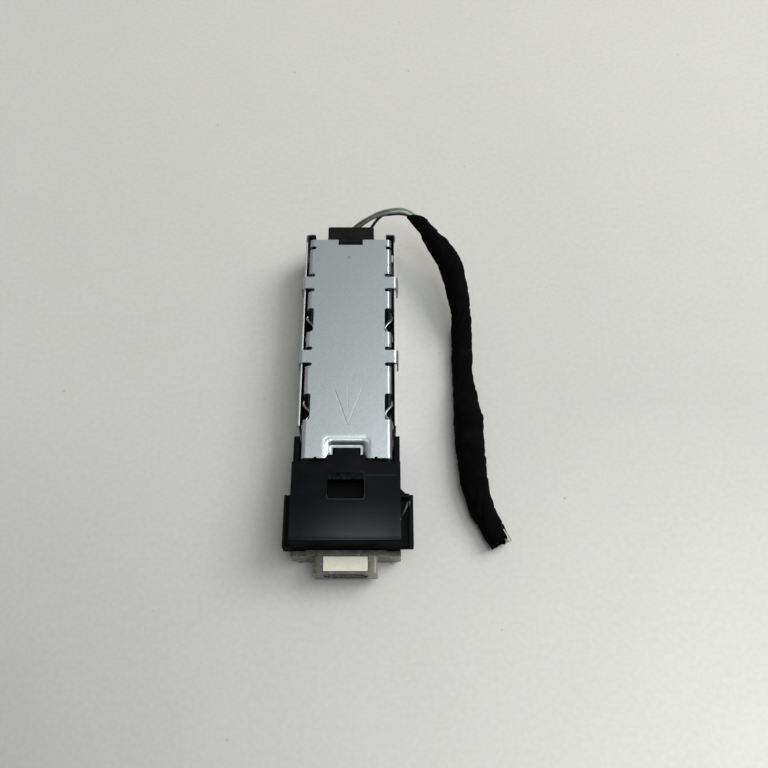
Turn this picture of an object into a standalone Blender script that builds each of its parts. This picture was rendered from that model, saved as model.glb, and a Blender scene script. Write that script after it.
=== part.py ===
"""A vehicle console's USB port module, lying on its floor, with its harness lead cut off.

A folded steel case holds a circuit board. A moulded nose snaps over the front of the case and
carries a light guide round the port. A plug at the rear feeds four wires into a taped lead.

Lengths are in metres. The port faces -Y, +Z is up, and the origin is on the underside of the
case's floor, on the centreline and halfway between the port's face and the back of the plug.
"""
import math

import bpy
import bmesh
from mathutils import Matrix, Vector

for old in list(bpy.data.objects):
    bpy.data.objects.remove(old, do_unlink=True)

# Clearances
FIT = 0.00025           # between neighbouring rigid pieces
SOLDER = 0.00010        # under a part that is soldered to the board
WIRE_GAP = 0.00030      # between wires, and at their ends

# Folded steel case
SHEET = 0.00035
COVER_TOP = 0.0120
COVER_FRONT = -0.01845
COVER_REAR = 0.03695
COVER_BEND = 0.0010
COVER_FLANGE_DEPTH = 0.0022
SHELL_HALF_WIDTH = 0.0106
LID_INSET = 0.0009      # from the outer face of a wall in to the lid's own edge
SHELL_BEND = 0.0009
SHELL_FRONT = -0.01915
WALL_FRONT = -0.01085
WALL_TAPER = 0.0014
CURB_TOP = 0.0015
EAR_REAR = 0.03885
EAR_WIDTH = 0.0022
EAR_FOOT = 0.0030
EAR_BEND = 0.0006

# Cut-outs along the edges of the lid
CUT_DEPTH = 0.0016      # how far each cut reaches in from the lid's edge
CUT_RADIUS = 0.00045
TAB_LENGTH = 0.0031
TAB_CENTRES = (0.0057, 0.0250)
TAB_DROP = 0.0046
WINDOW_LENGTH = 0.0062
WINDOW_CENTRES = (-0.00655, 0.0150)
REAR_NOTCH_CENTRE = 0.03465
LATCH_NOTCH_HALF = 0.0029
LATCH_NOTCH_DEPTH = 0.0015
DIMPLE_RADIUS = 0.00035

# Catch between a bridge tab and the wall behind it
CATCH_HALF = 0.00045
CATCH_TOP = 0.0096
CATCH_FOOT = 0.0085
CATCH_STAND_OUT = 0.0005

# Pressed recess and window that the snap tongue drops into
RECESS_DEPTH = 0.0008
RECESS_HALF = 0.0039
RECESS_REAR = -0.01465
RECESS_SLOPE = 0.0008
CATCH_WINDOW_HALF = 0.0032
CATCH_WINDOW_FRONT = -0.0176
CATCH_WINDOW_REAR = -0.0156

# Spring contact strips along the inside of the walls
STRIP = 0.00025
STRIP_FOOT = 0.0012
STRIP_BAND_TOP = 0.0042
STRIP_END = 0.0030
FINGER_FOOT = 0.0050
FINGER_ROOT = 0.0011
FINGER_LENGTH = 0.0056
FINGER_SET_BACK = 0.0002    # from a window's front edge to the finger's root
FINGER_BOW = 0.0016
FINGER_LIFT = 0.0002        # how far the free tip stands off the wall
FINGER_BOW_SHARE = 0.9      # of the finger's length
FINGER_STEPS = 14

# Moulded nose
NOSE_STEP = 0.0008      # how far the nose stands out past the case
NOSE_TOP = 0.0126
NOSE_FRONT = -0.03645
NOSE_REAR = -0.01945
NOSE_WALL = 0.0012
NOSE_ROUND = 0.0005
LIP_STAND_OUT = 0.0004
LIP_FOOT = 0.0069
LUG_WIDTH = 0.0029
LUG_FOOT = 0.0061
ARM_REAR = -0.0130
ARM_INSET = 0.0001      # how far an arm stands in from the nose's side
ARM_GAP = 0.00045       # from the lid's edge to an arm
ARM_FOOT = 0.0020
ARM_TOP = 0.0112

# Snap tongue on top of the nose
TONGUE_HALF = 0.0041
TONGUE_REAR = -0.0179
TIP_HALF = 0.0026
TIP_REAR = -0.0164
TONGUE_POCKET_HALF = 0.0038
POCKET_FRONT = -0.02755
POCKET_REAR = -0.02315
POCKET_DEPTH = 0.0030
POCKET_WALL = 0.0008
POCKET_RADIUS = 0.0006
RAMP_LENGTH = 0.0013
RAMP_DEPTH = 0.0008
RAMP_INSET = 0.0003

# Side rails of the nose
RAIL_FRONT = -0.03675
RAIL_REAR = -0.0258
LEFT_RAIL_REACH = 0.0016
LEFT_RAIL_TOP = 0.0098
LEFT_RAIL_FOOT = 0.0050
RAIL_GROOVE = 0.0005
RIGHT_RAIL_REACH = 0.00265
RIGHT_RAIL_TOP = 0.0097
RIGHT_RAIL_FOOT = 0.0070
RAIL_PLATE = 0.0008
RAIL_KERB = 0.0009
RAIL_FINGER_ROOT = -0.0323
RAIL_FINGER_TIP = -0.0270
RAIL_FINGER_WIDTH = 0.0012
GUSSET_REACH = 0.0011
GUSSET_LEDGE = 0.0003
GUSSET_LENGTH = 0.0021

# Steel tongue of the case's floor, and the moulded hook that it catches
FLOOR_TONGUE_INSET = 0.0036
FLOOR_TONGUE_FRONT = -0.0270
FLOOR_HOOK_HALF = 0.0019
FLOOR_HOOK_LENGTH = 0.0042
FLOOR_WINDOW_HALF = 0.0023
FLOOR_WINDOW_SET_BACK = 0.0015
FLOOR_WINDOW_LENGTH = 0.0022

# USB port
PORT_WIDTH = 0.00834
PORT_HEIGHT = 0.00256
PORT_WALL = 0.0003
PORT_SET_BACK = 0.0003
PORT_LENGTH = 0.0078
PORT_TONGUE_WIDTH = 0.00669
PORT_TONGUE_HEIGHT = 0.0007
PORT_TONGUE_LENGTH = 0.00445
PORT_BLOCK_LENGTH = 0.0022
CONTACTS = 12
CONTACT_PITCH = 0.0005
CONTACT_WIDTH = 0.00025
CONTACT_LENGTH = 0.0036
CONTACT_RISE = 0.00006

# Light guide and the cream block in its collar
PORT_FACE = -0.0416
PLATE_FRONT = -0.03785
PLATE_STEP = 0.0001     # how far the plate stands out past the nose
PLATE_FOOT = 0.0004
PLATE_CORNER = 0.0016
COLLAR_SIDE = 0.00253   # from the port's opening out to the collar's side
COLLAR_FOOT = 0.0013
COLLAR_TOP = 0.0068
COLLAR_CORNER = 0.0009
DIFFUSER_HALF_WIDTH = 0.0046
DIFFUSER_FRONT_RIM = 0.0003
DIFFUSER_FLOOR = 0.0004
GUIDE_LEG_HALF = 0.0011
GUIDE_LEG_INSET = 0.0015
GUIDE_LEG_LENGTH = 0.0030

# Circuit board and what is soldered to it
BOARD_FOOT = 0.0013
BOARD_THICKNESS = 0.0010
BOARD_INSET = 0.0017
BOARD_CORNER = 0.0012
BOARD_FRONT = -0.0345
BOARD_REAR = 0.0352
SUPPORT_INSET = 0.0019
SUPPORTS_Y = (-0.0120, 0.0080, 0.0300)
SUPPORT_RADIUS = 0.0011
SUPPORT_NARROWING = 0.0005
CHIP_SIZE = (0.0050, 0.0050, 0.0009)
CHIP_PLACE = (0.0022, -0.0085)
COIL_SIZE = (0.0066, 0.0066, 0.0030)
COIL_PLACE = (-0.0020, 0.0035)
COIL_ROUND = 0.0004
CAPACITOR_RADIUS = 0.0020
CAPACITOR_HEIGHT = 0.0054
CAPACITOR_EDGE = 0.0002
CAPACITOR_GROOVE = 0.0012
CAPACITOR_GROOVE_HALF = 0.0003
CAPACITOR_GROOVE_DEPTH = 0.00024
CAPACITOR_PLACES = ((0.0042, 0.0055), (0.0042, 0.0120), (-0.0042, 0.0150), (0.0010, 0.0180))
LED_SIZE = (0.0020, 0.0010, 0.0012)

# Socket on the board, and its pins
WAYS = 4
PITCH = 0.0025
CONTACT_HEIGHT = 0.0063
SOCKET_FRONT = 0.0272
SOCKET_LENGTH = 0.0096
SOCKET_WALL = 0.0007
SOCKET_BACK_WALL = 0.0014
PIN = 0.0006
PIN_TAIL = 0.0005
PIN_REACH = 0.0050
PIN_SET_BACK = 0.0012

# Plug in the socket
PLUG_SIDE = 0.00025
PLUG_END_GAP = 0.0006
PLUG_BELOW = 0.0021     # from the contacts down to the plug's underside
PLUG_ABOVE = 0.0023
FLANGE_GAP = 0.0004
FLANGE_LENGTH = 0.0044
FLANGE_STEP = 0.00025
FLANGE_DROP = 0.0008
FLANGE_RISE = 0.0020
FLANGE_ROUND = 0.0004
LEVER_HALF_WIDTH = 0.0026
LEVER_THICKNESS = 0.0010
LEVER_SET_BACK = 0.0020
LEVER_FOOT = 0.0012
LEVER_RAMP = 0.0006
LEVER_RISE = 0.0018
CAVITY_WALL = 0.0004
LOCK_THICKNESS = 0.0010
LOCK_SET_BACK = 0.0053
LOCK_LENGTH = 0.0018
TERMINAL_WALL = 0.00022
TERMINAL_SET_BACK = 0.0005
TERMINAL_BOX_LENGTH = 0.0058
CRIMP_LENGTH = 0.0032
CRIMP_WIDTH = 0.0012

# Wires and the taped lead. Their routes run from the back of the plug, on its centreline.
WIRE_DIAMETER = 0.0009
SLEEVE_DIAMETER = 0.0060
WIRE_RUN_OUT = 0.0007
BUNDLE_ROUTE = (
    (-0.0022, 0.0015, 0.0050),
    (0.0000, 0.0019, 0.0062),
    (0.0023, 0.0026, 0.0080),
    (0.0044, 0.0032, 0.0093),
    (0.0068, 0.0038, 0.0102),
    (0.0094, 0.0043, 0.0108),
    (0.0122, 0.0044, 0.0109),
    (0.0142, 0.0039, 0.0106),
)
SLEEVE_ROUTE = (
    (0.0154, 0.0030, 0.0103),
    (0.0177, 0.0009, 0.0099),
    (0.0197, -0.0020, 0.0095),
    (0.0215, -0.0046, 0.0090),
    (0.0238, -0.0088, 0.0081),
    (0.0248, -0.0131, 0.0070),
    (0.0262, -0.0215, 0.0050),
    (0.0263, -0.0261, 0.0041),
    (0.0264, -0.0359, 0.0033),
    (0.0266, -0.0417, 0.0032),
    (0.0271, -0.0475, 0.0032),
    (0.0271, -0.0517, 0.0032),
    (0.0277, -0.0606, 0.0032),
    (0.0288, -0.0668, 0.0032),
    (0.0309, -0.0720, 0.0032),
    (0.0329, -0.0758, 0.0033),
)

# Sizes of the case, the board and the nose that follow from the ones above
COVER_HALF_WIDTH = SHELL_HALF_WIDTH - LID_INSET
COVER_UNDER = COVER_TOP - SHEET
WALL_TOP = COVER_UNDER - FIT
TAB_OUTER = SHELL_HALF_WIDTH + FIT + SHEET
NOTCH = 2 * CUT_RADIUS
EDGE_X = COVER_HALF_WIDTH - CUT_DEPTH + CUT_RADIUS
DIMPLE_X = (RECESS_HALF + RECESS_SLOPE + EDGE_X) / 2
FRONT_DIMPLES = (-DIMPLE_X, DIMPLE_X - DIMPLE_RADIUS)
FINGER_TOP = COVER_TOP - COVER_FLANGE_DEPTH - FIT
FLOOR_TONGUE_HALF = SHELL_HALF_WIDTH - FLOOR_TONGUE_INSET
FLOOR_WINDOW_FRONT = FLOOR_TONGUE_FRONT + FLOOR_WINDOW_SET_BACK
FLOOR_WINDOW_REAR = FLOOR_WINDOW_FRONT + FLOOR_WINDOW_LENGTH
BOARD_TOP = BOARD_FOOT + BOARD_THICKNESS
BOARD_HALF_WIDTH = SHELL_HALF_WIDTH - BOARD_INSET
SUPPORT_X = BOARD_HALF_WIDTH - SUPPORT_INSET
GUIDE_LEG_X = BOARD_HALF_WIDTH - GUIDE_LEG_INSET
NOSE_HALF_WIDTH = SHELL_HALF_WIDTH + NOSE_STEP
NOSE_CAVITY_HALF = NOSE_HALF_WIDTH - NOSE_WALL
NOSE_CAVITY_TOP = NOSE_TOP - NOSE_WALL
NOSE_FLOOR = BOARD_FOOT - FIT
ARM_OUTER = NOSE_HALF_WIDTH - ARM_INSET
LUG_HALF_INNER = NOSE_HALF_WIDTH - LUG_WIDTH
LEFT_RAIL_OUTER = NOSE_HALF_WIDTH + LEFT_RAIL_REACH
RIGHT_RAIL_OUTER = NOSE_HALF_WIDTH + RIGHT_RAIL_REACH

# Sizes of the port, the light guide, the socket and the plug that follow from the ones above
PLATE_HALF_WIDTH = NOSE_HALF_WIDTH + PLATE_STEP
PLATE_BACK = NOSE_FRONT - LIP_STAND_OUT / 2 - FIT / 2
COLLAR_HALF_WIDTH = PORT_WIDTH / 2 + COLLAR_SIDE
PORT_RADIUS = PORT_HEIGHT / 2
PORT_CENTRE_Z = BOARD_TOP + SOLDER + PORT_WALL + PORT_RADIUS
DIFFUSER_FOOT = PORT_CENTRE_Z + PORT_RADIUS + PORT_WALL + FIT + DIFFUSER_FLOOR
SOCKET_REAR = SOCKET_FRONT + SOCKET_LENGTH
PIN_ROOT = SOCKET_FRONT - PIN_SET_BACK
PLUG_HALF_WIDTH = WAYS * PITCH / 2 + PLUG_SIDE
PLUG_FRONT = SOCKET_FRONT + SOCKET_BACK_WALL + PLUG_END_GAP
PLUG_FOOT = CONTACT_HEIGHT - PLUG_BELOW
PLUG_TOP = CONTACT_HEIGHT + PLUG_ABOVE
FLANGE_FRONT = SOCKET_REAR + FLANGE_GAP
FLANGE_REAR = FLANGE_FRONT + FLANGE_LENGTH
FLANGE_HALF_WIDTH = PLUG_HALF_WIDTH + FLANGE_STEP
FLANGE_FOOT = PLUG_FOOT - FLANGE_DROP
FLANGE_TOP = PLUG_TOP + FLANGE_RISE
LEVER_FRONT = PLUG_FRONT + LEVER_SET_BACK
LEVER_TOP = PLUG_TOP + LEVER_RISE
LOCK_FRONT = PLUG_FRONT + LOCK_SET_BACK
CAVITY = PITCH - CAVITY_WALL
TERMINAL = CAVITY - 2 * FIT
TERMINAL_FRONT = PLUG_FRONT + TERMINAL_SET_BACK
WIRE_START = TERMINAL_FRONT + TERMINAL_BOX_LENGTH + CRIMP_LENGTH + WIRE_GAP


def material(name, colour, roughness, metallic=0.0, transmission=0.0):
    """A plain finish for one piece."""
    finish = bpy.data.materials.new(name)
    finish.use_nodes = True
    shader = finish.node_tree.nodes["Principled BSDF"]
    shader.inputs["Base Color"].default_value = (*colour, 1.0)
    shader.inputs["Roughness"].default_value = roughness
    shader.inputs["Metallic"].default_value = metallic
    shader.inputs["Transmission Weight"].default_value = transmission
    finish.diffuse_color = (*colour, 1.0)
    return finish


ZINC_STEEL = material("zinc_steel", (0.43, 0.48, 0.50), 0.38, 0.9)
SPRING_STEEL = material("spring_steel", (0.72, 0.72, 0.70), 0.25, 1.0)
BLACK_MOULDING = material("black_moulding", (0.009, 0.009, 0.011), 0.42)
CLEAR_GUIDE = material("light_guide_plastic", (0.42, 0.41, 0.36), 0.30, 0.0, 0.4)
CREAM = material("cream_plastic", (0.70, 0.67, 0.57), 0.45)
PORT_STEEL = material("port_steel", (0.62, 0.62, 0.62), 0.30, 1.0)
PORT_BLACK = material("port_plastic", (0.012, 0.012, 0.012), 0.5)
BOARD_GREEN = material("board_green", (0.012, 0.085, 0.040), 0.40)
CHIP_BLACK = material("chip_epoxy", (0.015, 0.015, 0.016), 0.55)
COIL_GREY = material("coil_ferrite", (0.09, 0.09, 0.095), 0.60)
CAN_METAL = material("can_aluminium", (0.66, 0.67, 0.68), 0.30, 1.0)
LED_WHITE = material("led_white", (0.80, 0.80, 0.76), 0.40)
TIN = material("tinned_brass", (0.66, 0.63, 0.55), 0.30, 1.0)
LOCK_WHITE = material("lock_plastic", (0.62, 0.60, 0.54), 0.50)
TAPE = material("cloth_tape", (0.007, 0.007, 0.008), 0.85)
WIRE_COLOURS = (
    material("wire_green", (0.26, 0.40, 0.20), 0.45),
    material("wire_white", (0.66, 0.66, 0.62), 0.45),
    material("wire_grey", (0.24, 0.26, 0.25), 0.45),
    material("wire_dark", (0.030, 0.032, 0.034), 0.45),
)


def place(bm, name, finish, smooth_angle=None):
    """Turns a bmesh into one named object with its finish."""
    mesh = bpy.data.meshes.new(name)
    bm.to_mesh(mesh)
    bm.free()
    if smooth_angle is not None:
        mesh.shade_smooth()
        mesh.set_sharp_from_angle(angle=math.radians(smooth_angle))
    thing = bpy.data.objects.new(name, mesh)
    bpy.context.scene.collection.objects.link(thing)
    if finish is not None:
        mesh.materials.append(finish)
    return thing


def box(bm, low, high):
    """Adds a closed block between two corners."""
    size = [b - a for a, b in zip(low, high)]
    middle = [(a + b) / 2 for a, b in zip(low, high)]
    bmesh.ops.create_cube(bm, size=1.0, matrix=Matrix.Translation(middle) @ Matrix.Diagonal((*size, 1.0)))


def prism(bm, outline, start, end, axis):
    """Adds a closed block: an outline carried along an axis. X carries (y, z), Y (x, z) and Z (x, y)."""
    def corner(u, v, w):
        return {"X": (w, u, v), "Y": (u, w, v), "Z": (u, v, w)}[axis]

    near = [bm.verts.new(corner(u, v, start)) for u, v in outline]
    far = [bm.verts.new(corner(u, v, end)) for u, v in outline]
    faces = [bm.faces.new(near), bm.faces.new(far)]
    for i in range(len(outline)):
        j = (i + 1) % len(outline)
        faces.append(bm.faces.new((near[i], near[j], far[j], far[i])))
    bmesh.ops.recalc_face_normals(bm, faces=faces)


def arc(centre, radius, start, end, steps):
    """Points of an arc in a plane, angles in degrees."""
    turn = [math.radians(start + (end - start) * i / steps) for i in range(steps + 1)]
    return [(centre[0] + radius * math.cos(a), centre[1] + radius * math.sin(a)) for a in turn]


def rounded(low, high, radius, steps=4):
    """Outline of a rectangle with round corners."""
    (x0, y0), (x1, y1) = low, high
    r = radius
    return (arc((x1 - r, y0 + r), r, -90, 0, steps) + arc((x1 - r, y1 - r), r, 0, 90, steps)
            + arc((x0 + r, y1 - r), r, 90, 180, steps) + arc((x0 + r, y0 + r), r, 180, 270, steps))


def stadium(width, height, centre_z, steps=8):
    """Outline of a slot with half-round ends, in X and Z."""
    r = height / 2
    reach = width / 2 - r
    return arc((reach, centre_z), r, -90, 90, steps) + arc((-reach, centre_z), r, 90, 270, steps)


def tool(thing, bm, operation, name):
    """Cuts a hidden shape out of a piece, or welds it on."""
    shape = place(bm, name, None)
    shape.hide_render = True
    shape.display_type = "WIRE"
    step = thing.modifiers.new(name, "BOOLEAN")
    step.operation = operation
    step.object = shape
    return shape


def cut(thing, bm, name):
    return tool(thing, bm, "DIFFERENCE", name)


def weld(thing, bm, name):
    return tool(thing, bm, "UNION", name)


def round_edges(thing, width, steps=2):
    """Rounds the sharp edges of a block."""
    step = thing.modifiers.new("rounding", "BEVEL")
    step.width = width
    step.segments = steps
    step.limit_method = "ANGLE"
    step.angle_limit = math.radians(40)


class Fold:
    """The outer face of a folded sheet, kept as polygons that share their corners."""

    def __init__(self):
        self.bm = bmesh.new()
        self.corners = {}

    def corner(self, point):
        key = tuple(round(value * 1e8) for value in point)
        if key not in self.corners:
            self.corners[key] = self.bm.verts.new(point)
        return self.corners[key]

    def face(self, points, flip=False):
        loop = [self.corner(p) for p in points]
        if flip:
            loop.reverse()
        self.bm.faces.new(loop)

    def strip(self, first, second, flip=False):
        """Quads between two rows of points."""
        for i in range(len(first) - 1):
            self.face((first[i], first[i + 1], second[i + 1], second[i]), flip)

    def finish(self, name, finish, thickness, smooth_angle=35):
        thing = place(self.bm, name, finish, smooth_angle)
        step = thing.modifiers.new("sheet", "SOLIDIFY")
        step.thickness = thickness
        step.offset = -1
        step.use_even_offset = True
        return thing


# Lid

def cover_spans():
    """The lid's edge from front to rear: (start, end, kind) for tabs, open cuts and plain flange."""
    marks = []
    for y in TAB_CENTRES:
        half = TAB_LENGTH / 2
        marks.append((y - half - NOTCH, y - half, "open"))
        marks.append((y - half, y + half, "tab"))
        marks.append((y + half, y + half + NOTCH, "open"))
    for y in WINDOW_CENTRES:
        marks.append((y - WINDOW_LENGTH / 2, y + WINDOW_LENGTH / 2, "open"))
    marks.append((REAR_NOTCH_CENTRE - NOTCH / 2, REAR_NOTCH_CENTRE + NOTCH / 2, "open"))
    marks.sort()
    spans = []
    reached = COVER_FRONT
    for start, end, kind in marks:
        spans.append((reached, start, "flange"))
        spans.append((start, end, kind))
        reached = end
    spans.append((reached, COVER_REAR, "flange"))
    return spans


def ease(distance, width):
    """0 at one edge of a slope and 1 at the other, level at both."""
    t = min(max(distance / width, 0.0), 1.0)
    return t * t * (3 - 2 * t)


def cover_height(x, y):
    """The lid's outer face, pressed down round the latch window."""
    across = ease(RECESS_HALF + RECESS_SLOPE - abs(x), RECESS_SLOPE)
    along = ease(RECESS_REAR + RECESS_SLOPE - y, RECESS_SLOPE)
    return COVER_TOP - RECESS_DEPTH * across * along


def edge_profile(side, half_width, bend, foot):
    """Section of a folded edge, from the flat top round the bend and down."""
    section = arc((half_width - bend, COVER_TOP - bend), bend, 90, 0, 4)
    points = [(EDGE_X, COVER_TOP)] + section + [(half_width, foot)]
    return [(side * x, z) for x, z in points]


def cover():
    fold = Fold()
    spans = cover_spans()
    slope = [RECESS_REAR + RECESS_SLOPE * i / 4 for i in range(5)]
    latch_notch_front = COVER_REAR - LATCH_NOTCH_DEPTH
    ys = {COVER_FRONT, COVER_REAR, CATCH_WINDOW_FRONT, CATCH_WINDOW_REAR, latch_notch_front, *slope}
    ys |= {s for s, _, _ in spans}
    ys = sorted(ys)
    slope_x = [RECESS_HALF + RECESS_SLOPE * i / 4 for i in range(5)]
    half = sorted({LATCH_NOTCH_HALF, CATCH_WINDOW_HALF, EDGE_X, *slope_x})
    xs = [-x for x in reversed(half)] + half

    for x0, x1 in zip(xs, xs[1:]):
        for y0, y1 in zip(ys, ys[1:]):
            x, y = (x0 + x1) / 2, (y0 + y1) / 2
            if abs(x) < CATCH_WINDOW_HALF and CATCH_WINDOW_FRONT < y < CATCH_WINDOW_REAR:
                continue
            if abs(x) < LATCH_NOTCH_HALF and y > latch_notch_front:
                continue
            front = [(x0, y0), (x1, y0)]
            for dimple in FRONT_DIMPLES:
                if y0 == COVER_FRONT and x0 < dimple < x1:
                    front[1:1] = arc((dimple, y0), DIMPLE_RADIUS, 180, 0, 6)
            right, left = [], []
            kind = next(k for s, e, k in spans if s - 1e-9 < y < e + 1e-9)
            if kind == "open" and x1 == xs[-1]:
                right = open_edge(y0, y1)
            if kind == "open" and x0 == xs[0]:
                left = [(-px, py) for px, py in reversed(open_edge(y0, y1))]
            outline = front + right + [(x1, y1), (x0, y1)] + left
            fold.face([(px, py, cover_height(px, py)) for px, py in outline])

    for start, end, kind in spans:
        if kind == "open":
            continue
        rows = [y for y in ys if start - 1e-9 <= y <= end + 1e-9]
        if kind == "tab":
            shape = (TAB_OUTER, COVER_BEND, COVER_TOP - TAB_DROP)
        else:
            shape = (COVER_HALF_WIDTH, COVER_BEND, COVER_TOP - COVER_FLANGE_DEPTH)
        for side in (-1, 1):
            section = edge_profile(side, *shape)
            for y0, y1 in zip(rows, rows[1:]):
                fold.strip([(x, y0, z) for x, z in section], [(x, y1, z) for x, z in section], side < 0)

    lid = fold.finish("top_cover", ZINC_STEEL, SHEET)
    windows = bmesh.new()
    for y in TAB_CENTRES:
        for side in (-1, 1):
            x0, x1 = sorted((side * (TAB_OUTER - SHEET - FIT), side * (TAB_OUTER + FIT)))
            box(windows, (x0, y - CATCH_HALF - FIT, CATCH_FOOT - FIT),
                (x1, y + CATCH_HALF + FIT, CATCH_TOP + FIT))
    cut(lid, windows, "tab_windows")
    return lid


def open_edge(y0, y1):
    """The right-hand edge of a cut between its two corners, with round inner corners."""
    low = arc((EDGE_X, y0 + CUT_RADIUS), CUT_RADIUS, 270, 180, 4)
    high = arc((EDGE_X, y1 - CUT_RADIUS), CUT_RADIUS, 180, 90, 4)
    kept = []
    for p in low[1:] + high[:-1]:
        if not kept or math.dist(kept[-1], p) > 1e-7:
            kept.append(p)
    return kept


# Trough

def shell():
    fold = Fold()
    bend_points = arc((SHELL_HALF_WIDTH - SHELL_BEND, SHELL_BEND), SHELL_BEND, -90, 0, 4)
    ear_line = EAR_REAR - EAR_BEND
    ys = [SHELL_FRONT, WALL_FRONT - WALL_TAPER, WALL_FRONT, BOARD_REAR, ear_line]
    wall_zs = [SHELL_BEND, CURB_TOP, EAR_FOOT, WALL_TOP]

    for y0, y1 in zip(ys, ys[1:]):
        middle = [-FLOOR_TONGUE_HALF, FLOOR_TONGUE_HALF]
        floor = [(-SHELL_HALF_WIDTH + SHELL_BEND, 0)] + [(x, 0) for x in middle]
        floor += [(SHELL_HALF_WIDTH - SHELL_BEND, 0)]
        fold.strip([(x, y0, z) for x, z in floor], [(x, y1, z) for x, z in floor], True)
        for side in (-1, 1):
            section = [(side * x, z) for x, z in bend_points] + [(side * SHELL_HALF_WIDTH, CURB_TOP)]
            fold.strip([(x, y0, z) for x, z in section], [(x, y1, z) for x, z in section], side > 0)

    for side in (-1, 1):
        x = side * SHELL_HALF_WIDTH
        for z0, z1 in zip(wall_zs[1:], wall_zs[2:]):
            for y0, y1 in zip(ys[2:], ys[3:]):
                fold.face([(x, y0, z0), (x, y1, z0), (x, y1, z1), (x, y0, z1)], side < 0)
        fold.face([(x, ys[1], CURB_TOP), (x, ys[2], CURB_TOP), (x, ys[2], EAR_FOOT)], side < 0)
        ear = arc((SHELL_HALF_WIDTH - EAR_BEND, ear_line), EAR_BEND, 0, 90, 4)
        ear += [(SHELL_HALF_WIDTH - EAR_WIDTH, EAR_REAR)]
        low, high = ([(side * px, py, z) for px, py in ear] for z in (EAR_FOOT, WALL_TOP))
        fold.strip(low, high, side < 0)

    t = FLOOR_TONGUE_HALF
    tongue = [(-t, FLOOR_TONGUE_FRONT), (t, FLOOR_TONGUE_FRONT), (t, SHELL_FRONT), (-t, SHELL_FRONT)]
    fold.face([(x, y, 0) for x, y in tongue], True)
    trough = fold.finish("bottom_shell", ZINC_STEEL, SHEET)

    hollow, bump = bmesh.new(), bmesh.new()
    rise = BOARD_FOOT - FIT
    for y in SUPPORTS_Y:
        for side in (-1, 1):
            for bm, wide, low, high in ((bump, SUPPORT_RADIUS + SHEET, SHEET / 2, rise),
                                        (hollow, SUPPORT_RADIUS, -SHEET, rise - SHEET)):
                matrix = Matrix.Translation((side * SUPPORT_X, y, (low + high) / 2))
                bmesh.ops.create_cone(bm, cap_ends=True, segments=16, radius1=wide,
                                      radius2=wide - SUPPORT_NARROWING, depth=high - low, matrix=matrix)
    weld(trough, bump, "board_supports")
    cut(trough, hollow, "support_hollows")

    catches = bmesh.new()
    for y in TAB_CENTRES:
        for side in (-1, 1):
            root = side * (SHELL_HALF_WIDTH - SHEET / 2)
            outer = side * (SHELL_HALF_WIDTH + CATCH_STAND_OUT)
            prism(catches, [(root, CATCH_FOOT), (outer, CATCH_FOOT), (root, CATCH_TOP)],
                  y - CATCH_HALF, y + CATCH_HALF, "Y")
    weld(trough, catches, "wall_catches")

    window = bmesh.new()
    box(window, (-FLOOR_WINDOW_HALF, FLOOR_WINDOW_FRONT, -SHEET),
        (FLOOR_WINDOW_HALF, FLOOR_WINDOW_REAR, 2 * SHEET))
    cut(trough, window, "floor_window")
    return trough


# Spring strips

def spring_strip(name, side):
    """A stamped strip whose fingers bow inwards behind each window of the lid."""
    fold = Fold()
    outer = SHELL_HALF_WIDTH - SHEET - FIT
    starts = [y - WINDOW_LENGTH / 2 - FINGER_SET_BACK - FINGER_ROOT for y in sorted(WINDOW_CENTRES)]
    front, rear = starts[0] - STRIP_END, starts[-1] + FINGER_ROOT + FINGER_LENGTH + STRIP_END

    def finger_x(t):
        """Distance from the centreline along a finger, from its root at 0 to its free tip at 1."""
        bow = math.sin(math.pi * min(t / FINGER_BOW_SHARE, 1.0)) ** 2
        return outer - FINGER_BOW * bow - FINGER_LIFT * ease(t, 1 - FINGER_BOW_SHARE)

    def band(y0, y1):
        fold.face([(side * outer, y0, STRIP_FOOT), (side * outer, y1, STRIP_FOOT),
                   (side * outer, y1, STRIP_BAND_TOP), (side * outer, y0, STRIP_BAND_TOP)], side < 0)

    reached = front
    for start in starts:
        root = start + FINGER_ROOT
        band(reached, start)
        band(start, root)
        band(root, root + FINGER_LENGTH)
        reached = root + FINGER_LENGTH
        for low, high in ((STRIP_BAND_TOP, FINGER_FOOT), (FINGER_FOOT, FINGER_TOP)):
            fold.face([(side * outer, start, low), (side * outer, root, low),
                       (side * outer, root, high), (side * outer, start, high)], side < 0)
        shares = [i / FINGER_STEPS for i in range(FINGER_STEPS + 1)]
        path = [(side * finger_x(t), root + FINGER_LENGTH * t) for t in shares]
        fold.strip([(x, y, FINGER_FOOT) for x, y in path], [(x, y, FINGER_TOP) for x, y in path], side < 0)
    band(reached, rear)
    return fold.finish(name, SPRING_STEEL, STRIP, 60)


# Nose

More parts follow.
